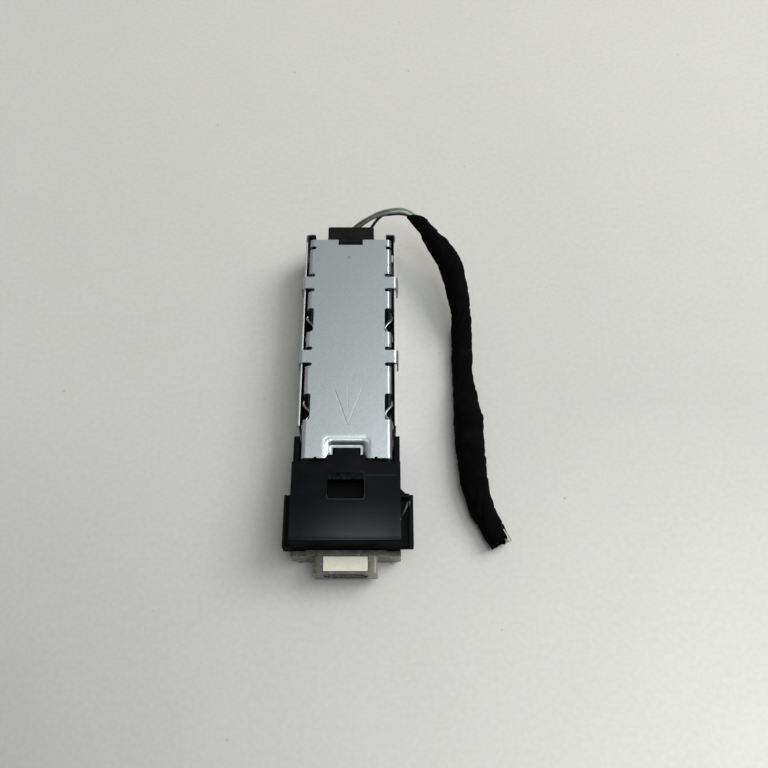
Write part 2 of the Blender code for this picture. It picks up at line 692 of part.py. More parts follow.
def nose():
    bm = bmesh.new()
    r = NOSE_ROUND
    top_front = arc((NOSE_FRONT + r, NOSE_TOP - r), r, 90, 180, 3)
    side_view = [(NOSE_REAR, 0), (NOSE_REAR, NOSE_TOP)] + top_front
    side_view += [(NOSE_FRONT - LIP_STAND_OUT, LIP_FOOT), (NOSE_FRONT, LIP_FOOT), (NOSE_FRONT, 0)]
    prism(bm, side_view, -NOSE_HALF_WIDTH, NOSE_HALF_WIDTH, "X")
    body = place(bm, "front_housing", BLACK_MOULDING, 35)

    added = bmesh.new()
    for side in (-1, 1):
        inner = COVER_HALF_WIDTH + ARM_GAP
        outline = [(NOSE_REAR - NOSE_WALL, ARM_FOOT), (ARM_REAR, ARM_FOOT), (ARM_REAR, ARM_TOP - NOSE_ROUND)]
        outline += [(ARM_REAR - NOSE_ROUND, ARM_TOP), (NOSE_REAR - NOSE_WALL, ARM_TOP)]
        x0, x1 = sorted((side * inner, side * ARM_OUTER))
        prism(added, outline, x0, x1, "X")
        x0, x1 = sorted((side * LUG_HALF_INNER, side * (NOSE_HALF_WIDTH - SOLDER)))
        box(added, (x0, NOSE_FRONT - LIP_STAND_OUT / 2, LUG_FOOT),
            (x1, NOSE_FRONT + NOSE_WALL / 2, LIP_FOOT + FIT))
    weld(body, added, "arms_and_lugs")

    rails = bmesh.new()
    sunk = NOSE_HALF_WIDTH - NOSE_WALL / 2
    top, g = LEFT_RAIL_TOP, RAIL_GROOVE
    left = [(sunk, LEFT_RAIL_FOOT), (LEFT_RAIL_OUTER, LEFT_RAIL_FOOT + g), (LEFT_RAIL_OUTER, top - g)]
    groove = (LEFT_RAIL_OUTER + NOSE_HALF_WIDTH) / 2
    left += [(LEFT_RAIL_OUTER - g, top), (groove + g / 2, top), (groove + g / 2, top - g)]
    left += [(groove - g / 2, top - g), (groove - g / 2, top), (sunk, top)]
    left = [(-x, z) for x, z in left]
    prism(rails, left, RAIL_FRONT, RAIL_REAR, "Y")
    kerb = RIGHT_RAIL_OUTER - RAIL_KERB
    deck = RIGHT_RAIL_FOOT + RAIL_PLATE
    top = RIGHT_RAIL_TOP
    right = [(sunk, RIGHT_RAIL_FOOT), (RIGHT_RAIL_OUTER, RIGHT_RAIL_FOOT), (RIGHT_RAIL_OUTER, top)]
    right += [(kerb, top), (kerb, deck), (sunk, deck)]
    prism(rails, right, RAIL_FRONT, RAIL_REAR, "Y")
    weld(body, rails, "side_rails")

    finger = bmesh.new()
    tip_x = kerb - FIT
    plan = [(sunk, RAIL_FINGER_ROOT), (tip_x, RAIL_FINGER_TIP - RAIL_FINGER_WIDTH), (tip_x, RAIL_FINGER_TIP)]
    plan += [(sunk, RAIL_FINGER_ROOT + RAIL_FINGER_WIDTH)]
    prism(finger, plan, deck + FIT, top - FIT, "Z")
    weld(body, finger, "spring_finger")
    gusset = bmesh.new()
    ledge = kerb + SOLDER
    front, rear = RAIL_REAR - RAIL_KERB / 2, RAIL_REAR + GUSSET_LEDGE
    plan = [(sunk, front), (ledge, front), (ledge, rear), (NOSE_HALF_WIDTH + GUSSET_REACH, rear)]
    plan += [(sunk, RAIL_REAR + GUSSET_LENGTH)]
    prism(gusset, plan, RIGHT_RAIL_FOOT + SOLDER, top - SOLDER, "Z")
    weld(body, gusset, "rail_gusset")

    hollow = bmesh.new()
    box(hollow, (-NOSE_CAVITY_HALF, NOSE_FRONT + NOSE_WALL, NOSE_FLOOR),
        (NOSE_CAVITY_HALF, NOSE_REAR + NOSE_WALL, NOSE_CAVITY_TOP))
    cut(body, hollow, "inside")
    mouth = bmesh.new()
    prism(mouth, rounded((-GUIDE_LEG_X - GUIDE_LEG_HALF - FIT, NOSE_FLOOR + FIT),
                         (GUIDE_LEG_X + GUIDE_LEG_HALF + FIT, LUG_FOOT - FIT), COLLAR_CORNER),
          NOSE_FRONT - NOSE_WALL, NOSE_FRONT + 2 * NOSE_WALL, "Y")
    cut(body, mouth, "light_guide_mouth")
    slot = bmesh.new()
    box(slot, (-FLOOR_TONGUE_HALF - FIT, FLOOR_TONGUE_FRONT - FIT, -FIT),
        (FLOOR_TONGUE_HALF + FIT, NOSE_REAR + FIT, NOSE_FLOOR + FIT))
    cut(body, slot, "floor_slot")

    well = bmesh.new()
    half = TONGUE_POCKET_HALF + POCKET_WALL
    box(well, (-half, POCKET_FRONT - POCKET_WALL, NOSE_TOP - POCKET_DEPTH - POCKET_WALL),
        (half, POCKET_REAR + POCKET_WALL, NOSE_CAVITY_TOP + FIT))
    weld(body, well, "pocket_walls")
    pocket = bmesh.new()
    plan = rounded((-TONGUE_POCKET_HALF, POCKET_FRONT), (TONGUE_POCKET_HALF, POCKET_REAR), POCKET_RADIUS)
    prism(pocket, plan, NOSE_TOP - POCKET_DEPTH, NOSE_TOP + FIT, "Z")
    cut(body, pocket, "tongue_pocket")
    ramp = bmesh.new()
    foot = NOSE_TOP - RAMP_DEPTH
    side_view = [(POCKET_REAR - FIT, foot), (POCKET_REAR, foot), (POCKET_REAR + RAMP_LENGTH, NOSE_TOP)]
    side_view += [(POCKET_REAR + RAMP_LENGTH, NOSE_TOP + FIT), (POCKET_REAR - FIT, NOSE_TOP + FIT)]
    prism(ramp, side_view, -TONGUE_POCKET_HALF + RAMP_INSET, TONGUE_POCKET_HALF - RAMP_INSET, "X")
    cut(body, ramp, "tongue_ramp")

    tongue = bmesh.new()
    plate = COVER_TOP - RECESS_DEPTH + FIT
    box(tongue, (-TONGUE_HALF, NOSE_REAR - NOSE_WALL, plate), (TONGUE_HALF, TONGUE_REAR, NOSE_TOP - SOLDER))
    weld(body, tongue, "tongue")
    tip = bmesh.new()
    hook = CATCH_WINDOW_FRONT + FIT
    under = COVER_UNDER - RECESS_DEPTH - FIT
    outline = [(TONGUE_REAR - NOSE_WALL / 2, plate + SOLDER), (hook, plate + SOLDER), (hook, under)]
    outline += [(hook + (TIP_REAR - hook) / 2, under), (TIP_REAR, plate), (TIP_REAR, NOSE_TOP - 2 * FIT)]
    outline += [(TIP_REAR - FIT, NOSE_TOP - FIT), (TONGUE_REAR - NOSE_WALL / 2, NOSE_TOP - FIT)]
    prism(tip, outline, -TIP_HALF, TIP_HALF, "X")
    weld(body, tip, "tongue_tip")

    hook_bar = bmesh.new()
    y0 = FLOOR_TONGUE_FRONT - FIT - NOSE_WALL / 2
    nib_front = FLOOR_WINDOW_FRONT + FIT
    nib_rear = FLOOR_WINDOW_REAR - FIT
    bar = SHEET + FIT
    outline = [(y0, bar), (nib_front, bar), (nib_front, SHEET / 4), (nib_rear, bar)]
    y1 = y0 + FLOOR_HOOK_LENGTH + NOSE_WALL / 2
    outline += [(y1, bar), (y1, NOSE_FLOOR - SOLDER), (y0, NOSE_FLOOR - SOLDER)]
    prism(hook_bar, outline, -FLOOR_HOOK_HALF, FLOOR_HOOK_HALF, "X")
    weld(body, hook_bar, "floor_hook")
    return body


# Light guide and diffuser

def light_guide():
    bm = bmesh.new()
    c = PLATE_CORNER
    w = PLATE_HALF_WIDTH
    top = LIP_FOOT - FIT
    shoulder = LUG_FOOT - FIT
    inner = LUG_HALF_INNER - FIT
    outline = [(-w + c, PLATE_FOOT), (w - c / 2, PLATE_FOOT), (w, PLATE_FOOT + c / 2), (w, shoulder)]
    outline += [(inner, shoulder), (inner, top), (-inner, top), (-inner, shoulder), (-w, shoulder)]
    outline += [(-w, PLATE_FOOT + c)]
    prism(bm, outline, PLATE_FRONT, PLATE_BACK, "Y")
    guide = place(bm, "light_guide", CLEAR_GUIDE, 35)

    collar = bmesh.new()
    low, high = (-COLLAR_HALF_WIDTH, COLLAR_FOOT), (COLLAR_HALF_WIDTH, COLLAR_TOP - SOLDER / 2)
    prism(collar, rounded(low, high, COLLAR_CORNER, 5), PORT_FACE, (PLATE_FRONT + PLATE_BACK) / 2, "Y")
    weld(guide, collar, "collar")
    legs = bmesh.new()
    for side in (-1, 1):
        x0, x1 = sorted((side * (GUIDE_LEG_X - GUIDE_LEG_HALF), side * (GUIDE_LEG_X + GUIDE_LEG_HALF)))
        box(legs, (x0, PLATE_BACK - FIT, BOARD_TOP + FIT),
            (x1, PLATE_BACK + GUIDE_LEG_LENGTH, BOARD_TOP + FIT + 2 * GUIDE_LEG_HALF))
    weld(guide, legs, "guide_legs")

    bore = bmesh.new()
    around = 2 * (PORT_WALL + FIT)
    prism(bore, stadium(PORT_WIDTH + around, PORT_HEIGHT + around, PORT_CENTRE_Z), PORT_FACE - FIT,
          PLATE_BACK + FIT, "Y")
    cut(guide, bore, "port_bore")
    seat = bmesh.new()
    box(seat, (-DIFFUSER_HALF_WIDTH - FIT / 2, PORT_FACE + DIFFUSER_FRONT_RIM, DIFFUSER_FOOT - FIT / 2),
        (DIFFUSER_HALF_WIDTH + FIT / 2, PLATE_FRONT - FIT / 2, COLLAR_TOP + FIT))
    cut(guide, seat, "diffuser_seat")
    return guide


def diffuser():
    bm = bmesh.new()
    box(bm, (-DIFFUSER_HALF_WIDTH, PORT_FACE + DIFFUSER_FRONT_RIM + FIT / 2, DIFFUSER_FOOT),
        (DIFFUSER_HALF_WIDTH, PLATE_FRONT - FIT, COLLAR_TOP))
    block = place(bm, "diffuser", CREAM, 35)
    round_edges(block, SOLDER, 2)
    return block


# Port

def usb_shell():
    front = PORT_FACE + PORT_SET_BACK
    bm = bmesh.new()
    prism(bm, stadium(PORT_WIDTH + 2 * PORT_WALL, PORT_HEIGHT + 2 * PORT_WALL, PORT_CENTRE_Z), front,
          front + PORT_LENGTH, "Y")
    tube = place(bm, "usb_shell", PORT_STEEL, 35)
    bore = bmesh.new()
    prism(bore, stadium(PORT_WIDTH, PORT_HEIGHT, PORT_CENTRE_Z), front - FIT, front + PORT_LENGTH + FIT, "Y")
    cut(tube, bore, "port_opening")
    return tube


def usb_insulator():
    rear = PORT_FACE + PORT_SET_BACK + PORT_LENGTH
    block_front = rear - PORT_BLOCK_LENGTH
    bm = bmesh.new()
    prism(bm, stadium(PORT_WIDTH - FIT, PORT_HEIGHT - FIT, PORT_CENTRE_Z), block_front, rear, "Y")
    block = place(bm, "usb_insulator", PORT_BLACK, 35)
    half_width, half_height = PORT_TONGUE_WIDTH / 2, PORT_TONGUE_HEIGHT / 2
    tongue = bmesh.new()
    blunt = half_height / 2
    tip, root = block_front - PORT_TONGUE_LENGTH, block_front + FIT
    outline = [(tip, -blunt), (tip + blunt, -half_height), (root, -half_height)]
    outline += [(y, -z) for y, z in reversed(outline)]
    outline = [(y, PORT_CENTRE_Z + z) for y, z in outline]
    prism(tongue, outline, -half_width, half_width, "X")
    weld(block, tongue, "port_tongue")
    ridges = bmesh.new()
    for i in range(CONTACTS):
        x = (i - (CONTACTS - 1) / 2) * CONTACT_PITCH
        for side in (-1, 1):
            z0, z1 = sorted((PORT_CENTRE_Z + side * half_height / 2,
                             PORT_CENTRE_Z + side * (half_height + CONTACT_RISE)))
            box(ridges, (x - CONTACT_WIDTH / 2, block_front - CONTACT_LENGTH, z0),
                (x + CONTACT_WIDTH / 2, block_front + FIT / 2, z1))
    weld(block, ridges, "port_contacts")
    return block


# Board

def circuit_board():
    bm = bmesh.new()
    w = BOARD_HALF_WIDTH
    c = BOARD_CORNER
    plan = [(-w + c, BOARD_FRONT), (w - c, BOARD_FRONT), (w, BOARD_FRONT + c), (w, BOARD_REAR)]
    plan += [(-w, BOARD_REAR), (-w, BOARD_FRONT + c)]
    prism(bm, plan, BOARD_FOOT, BOARD_TOP, "Z")
    board = place(bm, "circuit_board", BOARD_GREEN)
    holes = bmesh.new()
    for x in way_places():
        matrix = Matrix.Translation((x, PIN_ROOT, BOARD_FOOT + BOARD_THICKNESS / 2))
        radius = PIN / math.sqrt(2) + FIT / 2
        bmesh.ops.create_cone(holes, cap_ends=True, segments=12, radius1=radius, radius2=radius,
                              depth=BOARD_THICKNESS + 2 * FIT, matrix=matrix)
    cut(board, holes, "pin_holes")
    return board


def block_on_board(name, size, place_xy, finish, rounding):
    """A part soldered to the board, with its size and the middle of its footprint."""
    bm = bmesh.new()
    x, y = place_xy
    foot = BOARD_TOP + SOLDER
    box(bm, (x - size[0] / 2, y - size[1] / 2, foot), (x + size[0] / 2, y + size[1] / 2, foot + size[2]))
    part = place(bm, name, finish, 35)
    round_edges(part, rounding, 2)
    return part


def capacitor(name, place_xy):
    """An aluminium can with a rolled groove near its foot."""
    bm = bmesh.new()
    foot = BOARD_TOP + SOLDER
    r = CAPACITOR_RADIUS
    h = CAPACITOR_HEIGHT
    groove, half = CAPACITOR_GROOVE, CAPACITOR_GROOVE_HALF
    section = [(0, h), (r - CAPACITOR_EDGE, h), (r, h - CAPACITOR_EDGE), (r, groove + half)]
    section += [(r - CAPACITOR_GROOVE_DEPTH, groove), (r, groove - half), (r, 0), (0, 0)]
    rim = [bm.verts.new((x, 0, z)) for x, z in section]
    edges = [bm.edges.new(pair) for pair in zip(rim, rim[1:])]
    bmesh.ops.spin(bm, geom=rim + edges, cent=(0, 0, 0), axis=(0, 0, 1), angle=2 * math.pi, steps=20,
                   use_merge=True)
    bmesh.ops.remove_doubles(bm, verts=bm.verts, dist=1e-7)
    bmesh.ops.recalc_face_normals(bm, faces=bm.faces)
    can = place(bm, name, CAN_METAL, 35)
    can.location = (*place_xy, foot)
    return can


# Socket, pins, plug and terminals

def way_places():
    """Middle of each way across the plug."""
    return [(i - (WAYS - 1) / 2) * PITCH for i in range(WAYS)]


def socket():
    half = PLUG_HALF_WIDTH + FIT + SOCKET_WALL
    foot = BOARD_TOP + SOLDER
    top = LEVER_TOP - LEVER_THICKNESS - FIT
    bm = bmesh.new()
    box(bm, (-half, SOCKET_FRONT, foot), (half, SOCKET_REAR, top + SOCKET_WALL))
    header = place(bm, "header_housing", BLACK_MOULDING, 35)
    hollow = bmesh.new()
    box(hollow, (-PLUG_HALF_WIDTH - FIT, SOCKET_FRONT + SOCKET_BACK_WALL, PLUG_FOOT - FIT),
        (PLUG_HALF_WIDTH + FIT, SOCKET_REAR + FIT, PLUG_TOP + FIT))
    cut(header, hollow, "plug_space")
    gate = bmesh.new()
    box(gate, (-LEVER_HALF_WIDTH - FIT, LEVER_FRONT - FIT, PLUG_TOP - FIT),
        (LEVER_HALF_WIDTH + FIT, SOCKET_REAR + FIT, LEVER_TOP + FIT))
    cut(header, gate, "lever_gate")
    holes = bmesh.new()
    for x in way_places():
        box(holes, (x - PIN / 2 - FIT, SOCKET_FRONT - FIT, CONTACT_HEIGHT - PIN / 2 - FIT),
            (x + PIN / 2 + FIT, SOCKET_FRONT + SOCKET_BACK_WALL + FIT, CONTACT_HEIGHT + PIN / 2 + FIT))
    cut(header, holes, "pin_gates")
    return header


def pin(name, x):
    """A square pin, bent from the board into the socket."""
    y = PIN_ROOT
    h = PIN / 2
    foot = BOARD_FOOT - PIN_TAIL
    tip = PLUG_FRONT + PIN_REACH
    z = CONTACT_HEIGHT
    outline = [(y - h, foot), (y + h, foot), (y + h, z - h), (tip - h, z - h), (tip, z - h / 2)]
    outline += [(tip, z + h / 2), (tip - h, z + h)] + arc((y + h, z - h), 2 * h, 90, 180, 4)
    bm = bmesh.new()
    prism(bm, outline, x - h, x + h, "X")
    return place(bm, name, TIN)


def plug():
    bm = bmesh.new()
    box(bm, (-PLUG_HALF_WIDTH, PLUG_FRONT, PLUG_FOOT), (PLUG_HALF_WIDTH, FLANGE_FRONT + FIT, PLUG_TOP))
    body = place(bm, "plug_housing", BLACK_MOULDING, 35)
    flange = bmesh.new()
    plan = rounded((-FLANGE_HALF_WIDTH, FLANGE_FRONT), (FLANGE_HALF_WIDTH, FLANGE_REAR), FLANGE_ROUND, 3)
    prism(flange, plan, FLANGE_FOOT, FLANGE_TOP, "Z")
    weld(body, flange, "flange")
    lever = bmesh.new()
    top = LEVER_TOP
    under = top - LEVER_THICKNESS
    foot_rear = LEVER_FRONT + LEVER_FOOT
    outline = [(LEVER_FRONT, PLUG_TOP - FIT), (foot_rear, PLUG_TOP - FIT), (foot_rear + LEVER_RAMP, under)]
    outline += [(FLANGE_FRONT + FIT, under), (FLANGE_FRONT + FIT, top), (LEVER_FRONT + LEVER_THICKNESS, top)]
    outline += [(LEVER_FRONT, under)]
    prism(lever, outline, -LEVER_HALF_WIDTH, LEVER_HALF_WIDTH, "X")
    weld(body, lever, "latch_lever")
    cavities = bmesh.new()
    for x in way_places():
        box(cavities, (x - CAVITY / 2, TERMINAL_FRONT - FIT, CONTACT_HEIGHT - CAVITY / 2),
            (x + CAVITY / 2, FLANGE_REAR + FIT, CONTACT_HEIGHT + CAVITY / 2))
    cut(body, cavities, "terminal_cavities")
    gates = bmesh.new()
    for x in way_places():
        box(gates, (x - PIN / 2 - FIT, PLUG_FRONT - FIT, CONTACT_HEIGHT - PIN / 2 - FIT),
            (x + PIN / 2 + FIT, TERMINAL_FRONT, CONTACT_HEIGHT + PIN / 2 + FIT))
    cut(body, gates, "pin_openings")
    slot = bmesh.new()
    half = PLUG_HALF_WIDTH - SOCKET_WALL
    box(slot, (-half, LOCK_FRONT - FIT, PLUG_FOOT - FIT),
        (half, LOCK_FRONT + LOCK_LENGTH + FIT, PLUG_FOOT + LOCK_THICKNESS + FIT / 2))
    cut(body, slot, "lock_slot")
    return body


def plug_lock():
    """A cream bar that closes the slot under the terminals."""
    bm = bmesh.new()
    half = PLUG_HALF_WIDTH - SOCKET_WALL - FIT
    box(bm, (-half, LOCK_FRONT, PLUG_FOOT),
        (half, LOCK_FRONT + LOCK_LENGTH, PLUG_FOOT + LOCK_THICKNESS - FIT / 2))
    bar = place(bm, "plug_lock", LOCK_WHITE, 35)
    round_edges(bar, SOLDER, 1)
    return bar


def terminal(name, x):
    """A folded box that grips the pin, with a crimp behind it."""
    h = TERMINAL / 2
    z = CONTACT_HEIGHT
    bm = bmesh.new()
    box_rear = TERMINAL_FRONT + TERMINAL_BOX_LENGTH
    box(bm, (x - h, TERMINAL_FRONT, z - h), (x + h, box_rear, z + h))
    part = place(bm, name, TIN, 35)
    crimp = bmesh.new()
    c = CRIMP_WIDTH / 2
    prism(crimp, [(x + px, z + pz) for px, pz in rounded((-c, -c), (c, c), c / 2, 2)], box_rear - FIT,
          box_rear + CRIMP_LENGTH, "Y")
    weld(part, crimp, name + "_crimp")
    hollow = bmesh.new()
    i = h - TERMINAL_WALL
    box(hollow, (x - i, TERMINAL_FRONT - FIT, z - i), (x + i, box_rear - 2 * TERMINAL_WALL, z + i))
    cut(part, hollow, name + "_box")
    return part


# Wires and lead

def smooth_route(points, spacing):
    """Points at an even spacing along a smooth curve through the route's own points."""
    points = [Vector(p) for p in points]
    ends = [2 * points[0] - points[1], *points, 2 * points[-1] - points[-2]]
    fine = []
    for a, b, c, d in zip(ends, ends[1:], ends[2:], ends[3:]):
        for i in range(16):
            t = i / 16
            fine.append(0.5 * ((2 * b) + (c - a) * t + (2 * a - 5 * b + 4 * c - d) * t * t
                               + (3 * b - a - 3 * c + d) * t ** 3))
    fine.append(points[-1])
    length = sum((q - p).length for p, q in zip(fine, fine[1:]))
    count = max(round(length / spacing), 2)
    route, walked, target = [fine[0]], 0.0, length / count
    for p, q in zip(fine, fine[1:]):
        step = (q - p).length
        while walked + step >= target - 1e-9 and len(route) < count:
            route.append(p.lerp(q, (target - walked) / step))
            target += length / count
        walked += step
    return route + [fine[-1]]


def tube(name, points, diameter, finish, resolution):
    """A round cord along its points."""
    curve = bpy.data.curves.new(name, "CURVE")
    curve.dimensions = "3D"
    curve.bevel_depth = diameter / 2
    curve.bevel_resolution = resolution
    curve.use_fill_caps = True
    spline = curve.splines.new("POLY")
    spline.points.add(len(points) - 1)
    for point, spot in zip(spline.points, points):
        point.co = (*spot, 1.0)
    curve.materials.append(finish)
    cord = bpy.data.objects.new(name, curve)
    bpy.context.scene.collection.objects.link(cord)
    return cord


def behind_plug(route):
    """A route's points in the part's frame."""
    return [Vector((x, FLANGE_REAR + y, z)) for x, y, z in route]


def wire_route(i, x):
    """One wire from its crimp, round the back of the plug and into the mouth of the sleeve, two by two."""
    mouth, inside = behind_plug(SLEEVE_ROUTE[:2])
    heading = (inside - mouth).normalized()
    end = mouth - heading * WIRE_GAP
    shared = [p for p in behind_plug(BUNDLE_ROUTE) if p.x > x + WIRE_DIAMETER]
    shared += [end - heading * WIRE_DIAMETER, end]
    half = (WIRE_DIAMETER + WIRE_GAP) / 2
    outward = half if i % 2 == 0 else -half
    upward = half if i < WAYS / 2 else -half
    path = []
    for k, point in enumerate(shared):
        ahead = shared[min(k + 1, len(shared) - 1)] - shared[max(k - 1, 0)]
        outer_side = Vector((-ahead.y, ahead.x, 0)).normalized()
        path.append(point + outer_side * outward + Vector((0, 0, upward)))
    return [(x, WIRE_START, CONTACT_HEIGHT), (x, FLANGE_REAR + WIRE_RUN_OUT, CONTACT_HEIGHT)] + path


def build():
    cover()
    shell()
    spring_strip("spring_strip_left", -1)
    spring_strip("spring_strip_right", 1)
    nose()
    light_guide()
    diffuser()
    usb_shell()
    usb_insulator()
    circuit_board()
    block_on_board("charge_chip", CHIP_SIZE, CHIP_PLACE, CHIP_BLACK, SOLDER)
    block_on_board("power_inductor", COIL_SIZE, COIL_PLACE, COIL_GREY, COIL_ROUND)
    for i, spot in enumerate(CAPACITOR_PLACES, 1):
        capacitor(f"capacitor_{i}", spot)
    led_y = NOSE_FRONT + GUIDE_LEG_LENGTH + LED_SIZE[1] / 2 + FIT
    for side, name in ((-1, "led_left"), (1, "led_right")):
        block_on_board(name, LED_SIZE, (side * GUIDE_LEG_X, led_y), LED_WHITE, SOLDER)
    socket()
    harness = bpy.data.objects.new("harness_slide", None)
    harness.location = (0, FLANGE_REAR, CONTACT_HEIGHT)
    bpy.context.scene.collection.objects.link(harness)
    moving = [plug(), plug_lock()]
    for i, x in enumerate(way_places()):
        pin(f"header_pin_{i + 1}", x)
        moving.append(terminal(f"terminal_{i + 1}", x))
        route = smooth_route(wire_route(i, x), 2 * WIRE_DIAMETER)
        moving.append(tube(f"wire_{i + 1}", route, WIRE_DIAMETER, WIRE_COLOURS[i], 2))
    lead = smooth_route(behind_plug(SLEEVE_ROUTE), SLEEVE_DIAMETER / 2)
    moving.append(tube("taped_sleeve", lead, SLEEVE_DIAMETER, TAPE, 3))
    for piece in moving:
        piece.parent = harness
        piece.matrix_parent_inverse = Matrix.Translation(harness.location).inverted()


build()
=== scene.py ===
import math

import bmesh
import bpy
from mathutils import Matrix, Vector, noise


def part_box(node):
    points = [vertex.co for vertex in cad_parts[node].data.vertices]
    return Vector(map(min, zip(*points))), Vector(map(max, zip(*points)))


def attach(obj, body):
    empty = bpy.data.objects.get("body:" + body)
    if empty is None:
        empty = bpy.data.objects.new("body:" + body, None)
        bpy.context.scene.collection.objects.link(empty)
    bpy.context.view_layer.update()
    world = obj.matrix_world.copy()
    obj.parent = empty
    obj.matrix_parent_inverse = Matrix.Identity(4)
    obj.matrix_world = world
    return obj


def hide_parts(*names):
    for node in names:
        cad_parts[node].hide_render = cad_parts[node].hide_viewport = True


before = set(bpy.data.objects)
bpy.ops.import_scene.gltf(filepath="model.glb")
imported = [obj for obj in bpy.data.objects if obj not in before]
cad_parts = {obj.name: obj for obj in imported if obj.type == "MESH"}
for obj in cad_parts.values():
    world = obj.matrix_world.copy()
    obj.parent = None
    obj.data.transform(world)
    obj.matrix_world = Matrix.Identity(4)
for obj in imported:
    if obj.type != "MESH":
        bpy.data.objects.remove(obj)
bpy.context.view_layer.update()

MM = 0.001

# Camera
# The part lies on a pale table and is seen steeply from above, from its port end, by a plain lens
# about 200 mm away. The picture is square.
PICTURE_PIXELS = 768
FOCAL_PIXELS = 850
SENSOR_WIDTH = 36.0
CAMERA_DOWN = 64.6
CAMERA_PLACE = (0.00795, -0.08125, 0.1806)
camera_lens = bpy.data.cameras.new("camera")
camera_lens.sensor_width = SENSOR_WIDTH
camera_lens.lens = SENSOR_WIDTH * FOCAL_PIXELS / PICTURE_PIXELS
camera_lens.clip_start = 0.005
camera = bpy.data.objects.new("camera", camera_lens)
camera.location = CAMERA_PLACE
camera.rotation_euler = (math.radians(90 - CAMERA_DOWN), 0, 0)
bpy.context.scene.collection.objects.link(camera)
bpy.context.scene.camera = camera
bpy.context.scene.view_settings.view_transform = "Standard"


# Table
# A matt off-white laminate top. Painted light makes its colour a little paler behind the part and
# in front of it, most of all at the near right, and it has faint clouding and a few specks of dust.
class Field:
    """A value that varies over a surface. Sums and products of fields add their own nodes."""

    def __init__(self, tree, socket=None):
        self.tree = tree
        self.socket = socket

    def node(self, kind, settings=None, sockets=None, output=0):
        """Adds any node: first its settings, then the values or links of its sockets."""
        made = self.tree.nodes.new(kind)
        for name, value in (settings or {}).items():
            setattr(made, name, value)
        for name, value in (sockets or {}).items():
            if isinstance(value, Field):
                self.tree.links.new(value.socket, made.inputs[name])
            else:
                made.inputs[name].default_value = value
        return Field(self.tree, made.outputs[output])

    def maths(self, operation, *values):
        return self.node("ShaderNodeMath", {"operation": operation}, dict(enumerate(values)))

    def wave(self, per_unit):
        """A sine wave with a crest each 2 pi / per_unit."""
        return self.maths("SINE", self * per_unit)

    def turn_share(self):
        """What is left above the whole number, from 0 to 1."""
        return self.maths("FRACT", self)

    def bigger(self, other):
        return self.maths("MAXIMUM", self, other)

    def root(self):
        return self.maths("SQRT", self)

    def __add__(self, other):
        return self.maths("ADD", self, other)

    def __sub__(self, other):
        return self.maths("SUBTRACT", self, other)

    def __rsub__(self, other):
        return self.maths("SUBTRACT", other, self)

    def __mul__(self, other):
        return self.maths("MULTIPLY", self, other)

    def __abs__(self):
        return self.maths("ABSOLUTE", self)

    def __gt__(self, other):
        return self.maths("GREATER_THAN", self, other)

    def __lt__(self, other):
        return self.maths("LESS_THAN", self, other)

    def spread(self, low, high, to_low=0.0, to_high=1.0):
        """Carries the stretch from low to high over to another one, and stops at its ends."""
        return self.node("ShaderNodeMapRange", {"clamp": True}, {
            "Value": self, "From Min": low, "From Max": high, "To Min": to_low, "To Max": to_high})

    def tint(self, dark, light):
        """A colour between two others, which may vary too."""
        ends = [value if isinstance(value, Field) else (*value, 1.0) for value in (dark, light)]
        return self.node("ShaderNodeMix", {"data_type": "RGBA"}, {0: self, 6: ends[0], 7: ends[1]}, 2)

    def axis(self, index):
        return self.node("ShaderNodeSeparateXYZ", sockets={0: self}, output=index)

    def scaled(self, scale):
        """Each part of a place or a colour times its own factor."""
        return self.node("ShaderNodeVectorMath", {"operation": "MULTIPLY"}, {0: self, 1: scale})

    def clouds(self, scale, detail=2.0):
        """Soft noise, about 0.5 in the middle, with lumps of about one millimetre at scale 1."""
        return self.node("ShaderNodeTexNoise", sockets={"Vector": self, "Scale": scale, "Detail": detail})

    def flecks(self, scale, size):
        """Small dots at random places: 1 inside a dot and 0 outside."""
        cells = self.node("ShaderNodeTexVoronoi", sockets={"Vector": self, "Scale": scale})
        return cells.spread(size, size * 0.6)


def new_finish(name, **fixed):
    """A material with its fixed values set, its shader, and the place on the piece in millimetres."""
    material = bpy.data.materials.new(name)
    material.use_nodes = True
    shader = material.node_tree.nodes["Principled BSDF"]
    for socket, value in fixed.items():
        shader.inputs[socket.replace("_", " ")].default_value = value
    place = Field(material.node_tree).node("ShaderNodeTexCoord", output="Object")
    return material, shader, place.scaled((1 / MM, 1 / MM, 1 / MM))


def feed(shader, socket, field):
    field.tree.links.new(field.socket, shader.inputs[socket])


def emboss(shader, height, depth, strength):
    """Raises the surface by a field of heights from 0 to 1, whose full height is depth."""
    feed(shader, "Normal", height.node("ShaderNodeBump", sockets={
        "Height": height, "Distance": depth, "Strength": strength}, output="Normal"))


FLOOR_REACH, FLOOR_GAP = 0.9, 0.00002
SQUARE = ((-1, -1), (1, -1), (1, 1), (-1, 1))
floor_corners = [(x * FLOOR_REACH, y * FLOOR_REACH, -FLOOR_GAP) for x, y in SQUARE]
floor_mesh = bpy.data.meshes.new("table_top")
floor_mesh.from_pydata(floor_corners, [], [(0, 1, 2, 3)])
table = bpy.data.objects.new("table_top", floor_mesh)
bpy.context.scene.collection.objects.link(table)
laminate, shader, place = new_finish("pale_laminate", Roughness=0.55)
